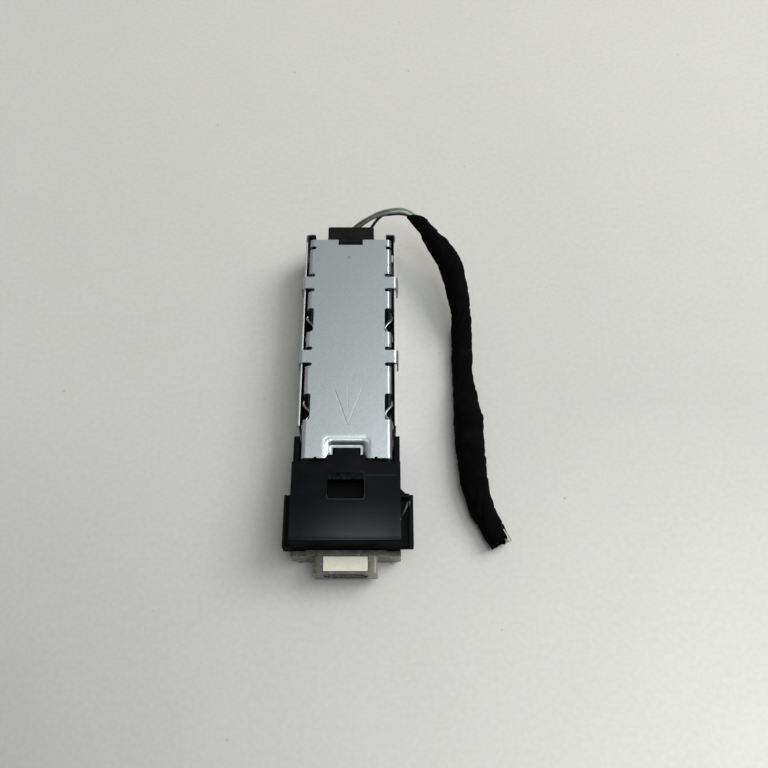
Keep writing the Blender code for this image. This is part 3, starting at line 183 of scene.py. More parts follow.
# The top's paleness, and the painted light it gains for each millimetre behind, before and to the right.
TOP_PALENESS, PAINTED_LIGHT_BEHIND, PAINTED_LIGHT_BEFORE, PAINTED_LIGHT_RIGHT = 0.735, 0.0005, 0.0004, 0.000036
across, along = place.axis(0), place.axis(1)
behind, before = along.spread(0, 110, 0, 110), (0.0 - along).spread(0, 80, 0, 80)
sideways = across.spread(-80, 80, -80, 80)
paleness_and_painted_light = behind * PAINTED_LIGHT_BEHIND + before * (sideways * PAINTED_LIGHT_RIGHT + PAINTED_LIGHT_BEFORE)
paleness_and_painted_light = paleness_and_painted_light + place.clouds(0.05, 3.0) * 0.04 + TOP_PALENESS
greyed = paleness_and_painted_light.spread(0.0, 1.0).tint((0.0, 0.0, 0.0), (1.0, 0.972, 0.912))
mottled = place.clouds(0.9, 4.0).spread(0.35, 0.65)
speckled = place.flecks(0.09, 0.035) * 0.35
table_colour = greyed.scaled(mottled.tint((0.97, 0.97, 0.97), (1.02, 1.02, 1.02)))
feed(shader, "Base Color", speckled.tint(table_colour, (0.30, 0.29, 0.27)))
floor_mesh.materials.append(laminate)

# Light
# A wide soft window high on the right and behind, a soft bluish ceiling above, and plain light all
# round that is brighter near the horizon, as from pale walls, and dim on the near side. Where the
# camera looks past the table, it sees one plain pale wall.
def soft_lamp(name, place, size, radiance, colour=(1.0, 1.0, 1.0)):
    """A square lamp aimed at the part, equally bright from everywhere in front of it."""
    lamp = bpy.data.lights.new(name, "AREA")
    lamp.color = colour
    lamp.shape = "SQUARE"
    lamp.size = size
    lamp.energy = math.pi * radiance * size * size
    holder = bpy.data.objects.new(name, lamp)
    holder.location = place
    holder.rotation_euler = Vector(place).to_track_quat("Z", "Y").to_euler()
    bpy.context.scene.collection.objects.link(holder)


soft_lamp("window_light", (0.80, 0.40, 0.84), 0.68, 5.6)
soft_lamp("ceiling_light", (0.30, -0.12, 1.10), 0.84, 2.2, (0.95, 1.0, 1.04))
WALLS_GLOW, SKY_GLOW, SEEN_WALL = 0.40, 0.14, 0.80
world = bpy.data.worlds.new("room")
world.use_nodes = True
background = world.node_tree.nodes["Background"]
background.inputs["Color"].default_value = (0.98, 1.0, 1.0, 1.0)
heading = Field(world.node_tree).node("ShaderNodeTexCoord", output="Generated")
lowness = 1.0 - heading.axis(2).spread(0.0, 1.0)
near_side = heading.axis(1).spread(-0.7, 0.1, 0.25, 1.0)
room_glow = (lowness * lowness * WALLS_GLOW + SKY_GLOW) * near_side
seen = heading.node("ShaderNodeLightPath", output="Is Camera Ray")
feed(background, "Strength", room_glow + seen * (SEEN_WALL - room_glow))
bpy.context.scene.world = world


# Taped lead
# Four thin wires wound with black fleece tape, half a turn over itself, and cut off at the far end.
# It hangs from the plug's wires, comes down to the table and lies along the module's right side.
LEAD_DIAMETER = 0.0060
LEAD_ROUTE = (
    (0.0154, 0.0446, 0.0103), (0.0177, 0.0425, 0.0099), (0.0197, 0.0396, 0.0095),
    (0.0215, 0.0370, 0.0090), (0.0238, 0.0328, 0.0081), (0.0248, 0.0285, 0.0070),
    (0.0262, 0.0201, 0.0050), (0.0263, 0.0155, 0.0041), (0.0264, 0.0057, 0.0033),
    (0.0266, -0.0001, 0.0032), (0.0271, -0.0059, 0.0032), (0.0271, -0.0101, 0.0032),
    (0.0277, -0.0190, 0.0032), (0.0288, -0.0252, 0.0032), (0.0309, -0.0304, 0.0032),
    (0.0329, -0.0342, 0.0033))
# How far the tape reaches to the left and right of each point of the route, in millimetres.
LEAD_LEFT = (1.25, 2.0, 2.65, 2.9, 2.95, 2.6, 2.32, 2.45, 2.42, 2.88, 3.4, 3.3, 3.2, 2.9, 2.4, 2.5)
LEAD_RIGHT = (1.75, 1.5, 1.7, 2.45, 2.9, 2.9, 2.46, 2.52, 2.42, 2.88, 3.35, 3.3, 3.1, 2.85, 2.55, 2.5)
LEAD_RINGS = 420
LEAD_SIDES = 56
LEAD_HEIGHT_SHARE = 0.82
LANDING_HEIGHTS = (0.0034, 0.0052)
UNDERSIDE_FLATTENED = 0.18
MOUTH_LENGTH = 0.0040
TAPE_PITCH = 0.0105
TAPE_STEP, LAP_RAMP = 0.00011, 0.035
FOLD_DEPTH, WRINKLE_DEPTH, CREASE_DEPTH = 0.00022, 0.00011, 0.00026
TABLE_GAP = 0.00008


def smooth_run(points, count):
    """Points along a smooth curve through the given ones, and where each falls between them."""
    points = [Vector(p) for p in points]
    ends = [2 * points[0] - points[1], *points, 2 * points[-1] - points[-2]]
    fine = []
    for k, (a, b, c, d) in enumerate(zip(ends, ends[1:], ends[2:], ends[3:])):
        for i in range(32):
            t = i / 32
            fine.append((0.5 * ((2 * b) + (c - a) * t + (2 * a - 5 * b + 4 * c - d) * t * t
                                + (3 * b - a - 3 * c + d) * t ** 3), k + t))
    fine.append((points[-1], len(points) - 1.0))
    length = sum((q[0] - p[0]).length for p, q in zip(fine, fine[1:]))
    run, walked, wanted = [fine[0]], 0.0, length / count
    for p, q in zip(fine, fine[1:]):
        step = (q[0] - p[0]).length
        while walked + step >= wanted - 1e-9 and len(run) < count:
            share = (wanted - walked) / step
            run.append((p[0].lerp(q[0], share), p[1] + (q[1] - p[1]) * share))
            wanted += length / count
        walked += step
    return run + [fine[-1]], length


def between(values, where):
    """A value at a place between the points of a list, eased from each to the next."""
    low = min(int(where), len(values) - 2)
    t = min(max(where - low, 0.0), 1.0)
    t = t * t * (3 - 2 * t)
    return values[low] * (1 - t) + values[low + 1] * t


def eased(value, low, high):
    t = min(max((value - low) / (high - low), 0.0), 1.0)
    return t * t * (3 - 2 * t)


def ring_axes(ahead):
    """The level direction to the right of a run and the one that points up from it."""
    right = Vector((-ahead.y, ahead.x, 0)).normalized()
    return right, ahead.cross(right).normalized()


lead_run, lead_length = smooth_run(LEAD_ROUTE, LEAD_RINGS)
lead_bm = bmesh.new()
lead_map = lead_bm.loops.layers.uv.new("along_the_tape")
rings, turn_steps = [], [2 * math.pi * j / LEAD_SIDES - math.pi / 2 for j in range(LEAD_SIDES)]
for i, (centre, where) in enumerate(lead_run):
    ahead = (lead_run[min(i + 2, LEAD_RINGS)][0] - lead_run[max(i - 2, 0)][0]).normalized()
    right, upward = ring_axes(ahead)
    walked = lead_length * i / LEAD_RINGS
    left_reach, right_reach = between(LEAD_LEFT, where) * MM, between(LEAD_RIGHT, where) * MM
    half_height = LEAD_HEIGHT_SHARE * (left_reach + right_reach) / 2
    lying = 1 - eased(centre.z, *LANDING_HEIGHTS)
    middle = Vector((centre.x, centre.y, centre.z + (half_height + TABLE_GAP - centre.z) * lying))
    start_cut = 1 - eased(walked, 0.0, MOUTH_LENGTH)
    ring = []
    for turn in turn_steps:
        out, up = math.cos(turn), math.sin(turn)
        reach = right_reach if out > 0 else left_reach
        lap = (walked / TAPE_PITCH - turn / (2 * math.pi)) % 1.0
        swell = TAPE_STEP * (1 - lap) * eased(lap, 0.0, LAP_RAMP)
        spot = Vector((walked * 420, 1.4 * out, 1.4 * up))
        folds = FOLD_DEPTH * noise.noise(spot * 0.55)
        folds += WRINKLE_DEPTH * noise.noise(spot * Vector((1.5, 1.9, 1.9)))
        crease = noise.noise(Vector((walked * 260 + 1.2 * out, 0.7 * up, 4.1)))
        folds -= CREASE_DEPTH * max(0.0, 1 - abs(crease) * 7) * eased(walked, 0.008, 0.02)
        puff = swell + folds * (1 - start_cut)
        flat = 1.0 if up > 0 else 1.0 - UNDERSIDE_FLATTENED * lying * up * up
        side = right * (out * (reach - TAPE_STEP * 0.5 + puff))
        rise = upward * (up * flat * (half_height + puff))
        point = middle + side + rise
        level_cut = (middle.y - point.y) / ahead.y if abs(ahead.y) > 0.2 else 0.0
        point += ahead * (level_cut * start_cut)
        point.z = max(point.z, TABLE_GAP)
        ring.append(lead_bm.verts.new(point))
    rings.append(ring)


def lay_skin(bm, rings, chart, lengths, around):
    """Faces between rings, with a chart of the distance along and around them."""
    for i, (near, far) in enumerate(zip(rings, rings[1:])):
        for j in range(len(near)):
            k = (j + 1) % len(near)
            face = bm.faces.new((near[j], near[k], far[k], far[j]))
            marks = ((lengths[i], j), (lengths[i], j + 1), (lengths[i + 1], j + 1), (lengths[i + 1], j))
            for loop, (u, v) in zip(face.loops, marks):
                loop[chart].uv = (u / MM, v * around / len(near) / MM)


# The cut end is ragged, and the tape turns in round the wires there and at the mouth.
CUT_RAGGED, MOUTH_RAGGED = 0.0007, 0.00015
TURN_IN = ((0.00005, 0.93), (0.0005, 0.88), (0.0022, 0.80), (0.0050, 0.70))
cut_heading = (lead_run[-1][0] - lead_run[-8][0]).normalized()
mouth_heading = (lead_run[0][0] - lead_run[8][0]).normalized()
ragged_ends = ((rings[-1], cut_heading, CUT_RAGGED), (rings[0], mouth_heading, MOUTH_RAGGED))
for end_ring, heading, ragged in ragged_ends:
    for j, vert in enumerate(end_ring):
        vert.co += heading * ragged * noise.noise(Vector((j * 0.37, 5.0, 1.0)))


def turned_in(ring, heading):
    """Rings that lead back into the tube from its end, each deeper and narrower."""
    middle = sum((vert.co for vert in ring), Vector()) / len(ring)
    return [[lead_bm.verts.new(middle + (vert.co - middle) * narrow - heading * depth) for vert in ring]
            for depth, narrow in TURN_IN]


far_inside = turned_in(rings[-1], cut_heading)
near_inside = turned_in(rings[0], mouth_heading)
skin = near_inside[::-1] + rings + far_inside
lengths = [lead_length * k / LEAD_RINGS for k in range(-len(TURN_IN), LEAD_RINGS + len(TURN_IN) + 1)]
lay_skin(lead_bm, skin, lead_map, lengths, math.pi * LEAD_DIAMETER)
lead_bm.faces.new(skin[0])
lead_bm.faces.new(skin[-1])
bmesh.ops.recalc_face_normals(lead_bm, faces=lead_bm.faces)


SMOOTH_BELOW = 60


def new_piece(name, bm, material):
    """A modelled piece with its finish, smooth but for its sharp edges."""
    mesh = bpy.data.meshes.new(name)
    bm.to_mesh(mesh)
    bm.free()
    mesh.shade_smooth()
    mesh.set_sharp_from_angle(angle=math.radians(SMOOTH_BELOW))
    mesh.materials.append(material)
    piece = bpy.data.objects.new(name, mesh)
    bpy.context.scene.collection.objects.link(piece)
    return piece


fleece, shader, place = new_finish("fleece_tape", Roughness=0.95, Specular_IOR_Level=0.06)
chart = place.node("ShaderNodeUVMap", {"uv_map": "along_the_tape"})
run, round_it = chart.axis(0), chart.axis(1)
fibres = chart.scaled((7.0, 3.0, 1.0)).clouds(1.0, 3.0)
weave = run.wave(5.2) * round_it.wave(5.2)
lap_place = (run * (MM / TAPE_PITCH) - round_it * (MM / (math.pi * LEAD_DIAMETER))).turn_share()
lap_edge = lap_place.spread(0.0, 0.05, 1.0, 0.0)
worn = place.clouds(0.35, 3.0).spread(0.45, 0.75)
black = worn.tint((0.0020, 0.0021, 0.0018), (0.0042, 0.0043, 0.0041))
feed(shader, "Base Color", (lap_edge * 0.5).tint(black, (0.0018, 0.0018, 0.0018)))
emboss(shader, fibres * 0.6 + weave * 0.2, 0.00004, 0.7)
tape = new_piece("tape_winding", lead_bm, fleece)
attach(tape, "harness")
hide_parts("taped_sleeve")

# Wires
# Four thin automotive wires with thin extruded insulation: green, white, grey and dark. They leave
# their crimps in the plug, bend up and over together, and go into the mouth of the tape.
WIRE_DIAMETER = 0.00072
WIRE_NEST = 0.52 * WIRE_DIAMETER
WIRE_STRAY = 0.00012
WIRE_START = 0.0390
STRAIGHT_OUT = 0.0007
PLUG_REAR = 0.0416
WAYS = 4
WAY_PITCH = 0.0025
CONTACT_HEIGHT = 0.0063
BUNDLE_ROUTE = (
    (-0.0022, 0.0431, 0.0050), (0.0, 0.0435, 0.0062), (0.0023, 0.0442, 0.0080), (0.0044, 0.0448, 0.0093),
    (0.0068, 0.0454, 0.0102), (0.0094, 0.0459, 0.0108), (0.0122, 0.0460, 0.0109), (0.0142, 0.0455, 0.0106))
INTO_TAPE = (0.0158, 0.0442, 0.0102)
DEEP_IN_TAPE = (0.0180, 0.0418, 0.0098)
way_places = [(i - (WAYS - 1) / 2) * WAY_PITCH for i in range(WAYS)]


def insulation(name, dark, light, dulled=(1.0, 1.0, 1.0)):
    """Thin extruded plastic with a satin skin, a little scuffed, and dulled by dirt near the plug."""
    material, shader, place = new_finish(name, Roughness=0.42)
    clean = place.clouds(1.4, 3.0).spread(0.35, 0.65).tint(dark, light)
    feed(shader, "Base Color", place.axis(0).spread(8.0, 12.5).tint(clean.scaled(dulled), clean))
    feed(shader, "Roughness", place.clouds(4.0).spread(0.3, 0.7, 0.34, 0.52))
    emboss(shader, place.scaled((1.0, 0.2, 1.0)).clouds(6.0), 0.00002, 0.6)
    return material


WIRE_FINISHES = (
    insulation("green_insulation", (0.17, 0.26, 0.14), (0.27, 0.38, 0.23), (0.75, 0.55, 0.75)),
    insulation("white_insulation", (0.42, 0.43, 0.39), (0.58, 0.59, 0.55), (0.42, 0.42, 0.42)),
    insulation("grey_insulation", (0.14, 0.155, 0.145), (0.22, 0.235, 0.22), (0.8, 0.8, 0.8)),
    insulation("dark_insulation", (0.022, 0.024, 0.026), (0.045, 0.047, 0.050)),
)


def drawn_wire(name, points, diameter, material):
    """A round wire along its points, with flat ends."""
    curve = bpy.data.curves.new(name, "CURVE")
    curve.dimensions = "3D"
    curve.bevel_depth = diameter / 2
    curve.bevel_resolution = 5
    curve.use_fill_caps = True
    line = curve.splines.new("POLY")
    line.points.add(len(points) - 1)
    for spot, point in zip(line.points, points):
        spot.co = (*point, 1.0)
    line.use_smooth = True
    curve.materials.append(material)
    wire = bpy.data.objects.new(name, curve)
    bpy.context.scene.collection.objects.link(wire)
    return wire


for i, x in enumerate(way_places):
    joined_later = [p for p in BUNDLE_ROUTE if p[0] > x + WIRE_DIAMETER]
    shared = [Vector(p) for p in (*joined_later, INTO_TAPE, DEEP_IN_TAPE)]
    outward = WIRE_NEST if i % 2 == 0 else -WIRE_NEST
    upward = WIRE_NEST if i < WAYS / 2 else -WIRE_NEST
    path = [Vector((x, WIRE_START, CONTACT_HEIGHT)), Vector((x, PLUG_REAR + STRAIGHT_OUT, CONTACT_HEIGHT))]
    for k, point in enumerate(shared):
        ahead = shared[min(k + 1, len(shared) - 1)] - shared[max(k - 1, 0)]
        right = Vector((-ahead.y, ahead.x, 0)).normalized()
        stray = WIRE_STRAY * noise.noise(Vector((k * 0.9, i * 3.7, 2.0)))
        path.append(point + right * (outward + stray) + Vector((0, 0, upward + stray)))
    bends = [p for p, _ in smooth_run(path, 56)[0]]
    wire = drawn_wire(f"wire_run_{i + 1}", bends, WIRE_DIAMETER, WIRE_FINISHES[i])
    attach(wire, "harness")
    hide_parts(f"wire_{i + 1}")

# Cut ends of the wires
# The lead was snipped through, so the wires' ends stand in its end. The white and the green one
# stick out a little with their copper strands bare, and the darker ones stay further in.
copper, shader, place = new_finish("bare_strands", Metallic=1.0, Roughness=0.35)
feed(shader, "Base Color", place.clouds(5.0).tint((0.55, 0.32, 0.16), (0.80, 0.50, 0.30)))
CUT_HEIGHT = 0.0026
CORE_SHARE, CORE_HIDDEN, CORE_BARED = 0.45, 0.0008, 0.00015
cut_right, cut_up = ring_axes(cut_heading)
cut_end = lead_run[-1][0].copy()
cut_end.z = CUT_HEIGHT
# Each end: how far right and up of the middle, its diameter, and how far it stands out of the tape.
CUT_ENDS = (
    ("cut_wire_white", 0.0014, 0.0007, 0.00115, 0.00060, WIRE_FINISHES[1]),
    ("cut_wire_green", 0.0019, -0.0003, 0.00095, 0.00050, WIRE_FINISHES[0]),
    ("cut_wire_grey", 0.0004, -0.0005, 0.00090, -0.00060, WIRE_FINISHES[2]),
    ("cut_wire_dark", -0.0010, 0.0003, 0.00090, -0.00040, WIRE_FINISHES[3]),
)
for name, out, up, diameter, beyond, material in CUT_ENDS:
    seat = cut_end + cut_right * out + cut_up * up
    points = [seat - cut_heading * 0.0022, seat - cut_heading * 0.001, seat + cut_heading * beyond]
    wire = drawn_wire(name, [p for p, _ in smooth_run(points, 10)[0]], diameter, material)
    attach(wire, "harness")
    "wire_" + name.split("_")[-1]
    core_ends = [points[-1] - cut_heading * CORE_HIDDEN, points[-1] + cut_heading * CORE_BARED]
    core = drawn_wire(name + "_core", core_ends, diameter * CORE_SHARE, copper)
    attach(core, "harness")
[tuple(p) for p, _ in lead_run[::6]] + [tuple(lead_run[-1][0])]


# Lid
# A folded lid of zinc-plated sheet steel. Two bridge tabs on each side hook over the wall, and a
# pressed recess at the front takes the nose's snap tongue. The plating left a fine mottled grain.
JOINED_WITHIN = 1e-6
FLAT_BELOW, ROUNDED_ABOVE = 0.5, 28


def dress(material, *names, edge=0.00006, steps=2):
    """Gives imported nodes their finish, joins their facets and rounds their edges a little."""
    for name in names:
        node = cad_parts[name]
        node.data.materials.clear()
        node.data.materials.append(material)
        for layer in ("custom_normal", "sharp_edge"):
            if layer in node.data.attributes:
                node.data.attributes.remove(node.data.attributes[layer])
        node.data.shade_smooth()
        joined = node.modifiers.new("joined_facets", "WELD")
        joined.merge_threshold = JOINED_WITHIN
        flat = node.modifiers.new("flat_faces", "DECIMATE")
        flat.decimate_type = "DISSOLVE"
        flat.angle_limit = math.radians(FLAT_BELOW)
        if edge:
            rounded = node.modifiers.new("rounded_edges", "BEVEL")
            rounded.width = edge
            rounded.segments = steps
            rounded.limit_method = "ANGLE"
            rounded.angle_limit = math.radians(ROUNDED_ABOVE)
        even = node.modifiers.new("even_light", "WEIGHTED_NORMAL")
        even.mode = "FACE_AREA"
        even.weight = 100
        even.keep_sharp = False


def scored_line(place, start, end, half_width):
    """1 along a thin line between two points of a level face, in millimetres, and 0 beside it."""
    run, rise = end[0] - start[0], end[1] - start[1]
    length = math.hypot(run, rise)
    x, y = place.axis(0) - start[0], place.axis(1) - start[1]
    along = x * (run / length) + y * (rise / length)
    aside = abs(x * (rise / length) - y * (run / length))
    return aside.spread(half_width, half_width * 0.3) * (along > 0.0) * (along < length)


def rim_distance(place, centre, half_size, radius):
    """How far a place lies outside a level rectangle with rounded corners, in millimetres."""
    x = (abs(place.axis(0) - centre[0]) - (half_size[0] - radius)).bigger(0.0)
    y = (abs(place.axis(1) - centre[1]) - (half_size[1] - radius)).bigger(0.0)
    return (x * x + y * y).root() - radius


LID_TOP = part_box("top_cover")[1].z / MM
LID_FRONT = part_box("top_cover")[0].y / MM
zinc, shader, place = new_finish("zinc_plate", Metallic=0.92)
across, along, level = place.axis(0), place.axis(1), place.axis(2)
streaks = place.scaled((3.0, 1.5, 1.0)).clouds(1.0, 5.0)
blooms = place.scaled((0.8, 0.6, 1.0)).clouds(1.0, 4.0)
spangle = place.scaled((1.0, 0.8, 1.0)).clouds(5.0, 3.0)
mottle = streaks * 0.45 + blooms * 0.25 + spangle * 0.30
plate_colour = mottle.spread(0.38, 0.62).tint((0.66, 0.715, 0.715), (0.84, 0.895, 0.89))
# Painted light and shade: the bends and the tabs' sides are coloured lighter on the left and
# darker on the right, to stand in for how the window lights them.
BEND_PAINTED_SHADING = ((0.56, 0.58, 0.61), (0.21, 0.22, 0.22))
TAB_SIDE_PAINTED_SHADING = ((0.34, 0.36, 0.37), (0.25, 0.265, 0.27))
BEND_START, TAB_SIDE = 8.4, 10.95
left_to_right = across.spread(-5.0, 5.0)
on_bend = (level < LID_TOP - 0.07) * (abs(across) > BEND_START)
plate_colour = on_bend.tint(plate_colour, left_to_right.tint(*BEND_PAINTED_SHADING))
on_tab_side = (abs(across) > TAB_SIDE) * on_bend
plate_colour = on_tab_side.tint(plate_colour, left_to_right.tint(*TAB_SIDE_PAINTED_SHADING))
# Painted shade: the recess's rear and right slopes are coloured dark, as they face away from the window.
RECESS_EDGE = (4.7, -13.85)
RECESS_REACH = RECESS_EDGE[1] - LID_FRONT
RECESS_DEPTH = 0.78
FLOOR_HALF, FLOOR_REAR, FLOOR_CORNER = 3.50, -15.30, 0.45
below_top = LID_TOP - level
past_floor = (along - FLOOR_REAR).spread(0.0, 0.35) + (across - (FLOOR_HALF - 0.1)).spread(0.0, 0.35)
on_slope = (below_top < RECESS_DEPTH - 0.005) * (abs(across) < RECESS_EDGE[0] + 0.05)
recess_painted_shade = below_top.spread(0.05, 0.50) * on_slope * past_floor.spread(0.0, 1.0)
plate_colour = (recess_painted_shade * 0.85).tint(plate_colour, (0.10, 0.11, 0.11))
ARROW_X, ARROW_TIP, ARROW_REAR, ARROW_SPREAD = 0.15, -10.9, -2.3, 3.0
ARROW_LINES = (
    ((ARROW_X - ARROW_SPREAD, ARROW_REAR), (ARROW_X, ARROW_TIP), 0.13, 1.0),
    ((ARROW_X + ARROW_SPREAD, ARROW_REAR), (ARROW_X, ARROW_TIP), 0.10, 0.8),
    ((ARROW_X, ARROW_REAR + 1.0), (ARROW_X, ARROW_TIP + 3.0), 0.08, 0.6),
)
arrow = [scored_line(place, start, end, half_width) * depth for start, end, half_width, depth in ARROW_LINES]
worn_away = place.scaled((1.5, 0.9, 1.0)).clouds(1.0, 3.0).spread(0.3, 0.55, 0.35, 1.0)
etched = ((arrow[0] + arrow[1] + arrow[2]) * worn_away).spread(0.0, 1.0) * (level > LID_TOP - 0.05)
specks = place.flecks(0.33, 0.045) * 0.55
plate_colour = specks.tint(plate_colour, (0.10, 0.10, 0.10))
STAIN_PLACE, STAIN_RADIUS = (-0.3, 31.9), 0.32
stain = rim_distance(place, STAIN_PLACE, (STAIN_RADIUS, STAIN_RADIUS), STAIN_RADIUS).spread(0.15, -0.2)
plate_colour = (stain * 0.5).tint(plate_colour, (0.32, 0.20, 0.17))
feed(shader, "Base Color", (etched * 0.8).tint(plate_colour, (0.10, 0.11, 0.11)))
feed(shader, "Roughness", mottle.spread(0.3, 0.7, 0.44, 0.32) + etched * 0.2 + on_bend * 0.18)
# Pressing drew the sheet in a little round the recess.
DRAWN_IN, DRAWN_CORNER = 0.8, 0.9
beside = rim_distance(place, (0.0, LID_FRONT), (RECESS_EDGE[0], RECESS_REACH), DRAWN_CORNER)
beside = beside.spread(0.0, DRAWN_IN, 1.0, 0.0)
emboss(shader, streaks * 0.5 + blooms * 0.5 - etched - beside * beside * 3.0, 0.00003, 0.7)
dress(zinc, "top_cover")

# Pressed recess
# The front of the lid is pressed down in a soft curve round the nose's tongue, so that the tongue
# lies below the lid's top. Only a narrow bright floor is left round the tongue's tip.
TIP_HALF, TIP_REAR = 3.02, -15.78
PRESS_STEP, SLOPE_CURVE, RIM_PROUD, SHEET = 0.1, 1.7, 0.006, 0.25
press_bm = bmesh.new()
press_width = RECESS_EDGE[0] - FLOOR_HALF
columns = [-RECESS_EDGE[0] + PRESS_STEP * i for i in range(round(2 * RECESS_EDGE[0] / PRESS_STEP) + 1)]
rows = [LID_FRONT + 0.02 + PRESS_STEP * i for i in range(round(RECESS_REACH / PRESS_STEP))]
rows.append(RECESS_EDGE[1])
press_grid = {}
for i, x in enumerate(columns):
    for j, y in enumerate(rows):
        past_x = max(abs(x) - (FLOOR_HALF - FLOOR_CORNER), 0.0)
        past_y = max(y - (FLOOR_REAR - FLOOR_CORNER), 0.0)
        share = min(max((math.hypot(past_x, past_y) - FLOOR_CORNER) / press_width, 0.0), 1.0)
        height = LID_TOP - RECESS_DEPTH + (RECESS_DEPTH + RIM_PROUD) * (1 - (1 - share) ** SLOPE_CURVE)
        press_grid[i, j] = press_bm.verts.new((x * MM, y * MM, height * MM))
for i in range(len(columns) - 1):
    for j in range(len(rows) - 1):
        middle = ((columns[i] + columns[i + 1]) / 2, (rows[j] + rows[j + 1]) / 2)
        if abs(middle[0]) < TIP_HALF and middle[1] < TIP_REAR:
            continue
        corners = ((i, j), (i + 1, j), (i + 1, j + 1), (i, j + 1))
        press_bm.faces.new([press_grid[corner] for corner in corners])
bmesh.ops.delete(press_bm, geom=[v for v in press_bm.verts if not v.link_faces], context="VERTS")
press_bm.edges.index_update()
rim = [edge.index for edge in press_bm.edges if edge.is_boundary]
pressing = new_piece("latch_recess", press_bm, zinc)
for index in rim:
    pressing.data.edges[index].use_edge_sharp = True
thick = pressing.modifiers.new("sheet", "SOLIDIFY")
thick.thickness = SHEET * MM
thick.offset = -1
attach(pressing, "module")

# Trough
# The other half of the case, folded from the same sheet: floor, two side walls with hooks for the
# lid's tabs, ears folded in at the rear, and pressed feet that carry the board.
WALL_INSIDE, WALL_TOP, EARS_FRONT = 10.3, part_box("bottom_shell")[1].z / MM, 36.5
trough_zinc, shader, place = new_finish("zinc_plate_wall", Metallic=0.90)
across, along, level = place.axis(0), place.axis(1), place.axis(2)
streaks = place.scaled((3.0, 0.5, 3.0)).clouds(1.0, 5.0)
blooms = place.clouds(0.7, 4.0)
# The folded ears at the rear are coloured dark in cloudy patches, with a rougher, bumpier skin.
on_ears = along.spread(EARS_FRONT - 0.1, EARS_FRONT + 0.4)
dark_ear_patches = on_ears * place.clouds(0.9, 3.0).spread(0.25, 0.60, 0.70, 1.0)
wall_colour = (streaks * 0.6 + blooms * 0.4).spread(0.38, 0.62).tint((0.36, 0.40, 0.41), (0.47, 0.52, 0.53))
# Painted shade: inside the walls, above the floor, everything is coloured near black, as the lid shades it.
painted_shade_inside = (abs(across) < WALL_INSIDE) * (level > 0.5) * (along < EARS_FRONT)
wall_colour = painted_shade_inside.tint(wall_colour, (0.05, 0.052, 0.053))
# Painted highlight: the walls' top edges are coloured near white.
painted_edge_highlight = (level > WALL_TOP - 0.12) * (along < EARS_FRONT)
wall_colour = painted_edge_highlight.tint(wall_colour, (0.84, 0.86, 0.86))
feed(shader, "Base Color", (dark_ear_patches * 0.85).tint(wall_colour, (0.035, 0.035, 0.035)))
feed(shader, "Roughness", streaks.spread(0.3, 0.7, 0.50, 0.36) + dark_ear_patches * 0.2)
emboss(shader, streaks * 0.6 + dark_ear_patches * 0.4, 0.00003, 0.7)
dress(trough_zinc, "bottom_shell")

# Spring strips
# Thin strips of bright spring steel along the inside of each wall. Their fingers bow inwards in the
# lid's windows, each with a free tip that curls outwards at the rear.
spring, shader, place = new_finish("bright_spring_steel", Metallic=1.0)
drawn = place.scaled((1.0, 0.6, 5.0)).clouds(2.0, 3.0)
FINGERS_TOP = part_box("spring_strip_right")[1].z / MM
drawn_steel = drawn.tint((0.70, 0.70, 0.69), (0.92, 0.92, 0.90))
# Painted shade: the strips are coloured dark below their top edge, where the lid shades them.
painted_shade_below = place.axis(2) < FINGERS_TOP - 0.25
feed(shader, "Base Color", painted_shade_below.tint(drawn_steel, (0.10, 0.10, 0.10)))
feed(shader, "Roughness", drawn.spread(0.3, 0.7, 0.24, 0.38))
dress(spring, "spring_strip_left", "spring_strip_right", edge=0.00004)

# Rolled edges of the fingers
# The upper edge of each finger is rolled over into a round bead, so that it slides without biting.
# The bead follows the finger's bow and curls outwards at the free tip.
FINGER_STARTS = (-9.85, 11.70)
FINGER_LENGTH, FINGER_BOW, BOW_SHARE, TIP_LIFT = 5.6, 1.6, 0.9, 0.2
BEAD_DIAMETER, BEAD_START, BEAD_STEPS, STRIP_THICKNESS = 0.45, 0.06, 24, 0.25
for side, strip in ((-1, "spring_strip_left"), (1, "spring_strip_right")):
    face = max(abs(corner.x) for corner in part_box(strip)) / MM - STRIP_THICKNESS / 2
    for number, start in enumerate(FINGER_STARTS, 1):
        bead = []
        for step in range(BEAD_STEPS + 1):
            t = BEAD_START + (1 - BEAD_START) * step / BEAD_STEPS
            bow = math.sin(math.pi * min(t / BOW_SHARE, 1.0)) ** 2
            inward = FINGER_BOW * bow + TIP_LIFT * eased(t, BOW_SHARE, 1.0)
            bead.append(Vector((side * (face - inward), start + FINGER_LENGTH * t, FINGERS_TOP - 0.08)) * MM)
        name = f"finger_bead_{'left' if side < 0 else 'right'}_{number}"
        rolled = drawn_wire(name, bead, BEAD_DIAMETER * MM, spring)
        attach(rolled, "module")

# Nose
# A black moulded housing that snaps over the front of the case with a tongue on top and a hook
# below. Its skin is a fine spark-eroded satin, with a faint parting line on the right.
NOSE_TOP, NOSE_FRONT, RAIL_TOP = 12.6, -36.45, 9.2
POCKET_HALF, POCKET_FRONT, POCKET_REAR, RAMP_REAR = 3.85, -27.6, -23.1, -21.8
PARTING_LINE = ((4.4, -22.45), (10.6, -22.45))
FINGER_LINE = ((11.5, -32.2), (13.2, -27.2))
SHEEN_FRONT, SHEEN_REAR, SHEEN_MIDDLE = -35.0, -27.0, 0.6
black_moulding, shader, place = new_finish("black_moulding", Specular_IOR_Level=0.06, Coat_Roughness=0.22,
                                           Coat_IOR=1.75)
across, along, level = place.axis(0), place.axis(1), place.axis(2)
on_skin = (level > NOSE_TOP - 0.12) * (along > NOSE_FRONT + 0.05)
on_front = along < NOSE_FRONT + 0.05
near_pocket = abs(across) < POCKET_HALF
in_pocket = near_pocket * (along > POCKET_FRONT) * (along < POCKET_REAR) * (level < NOSE_TOP - 0.1)
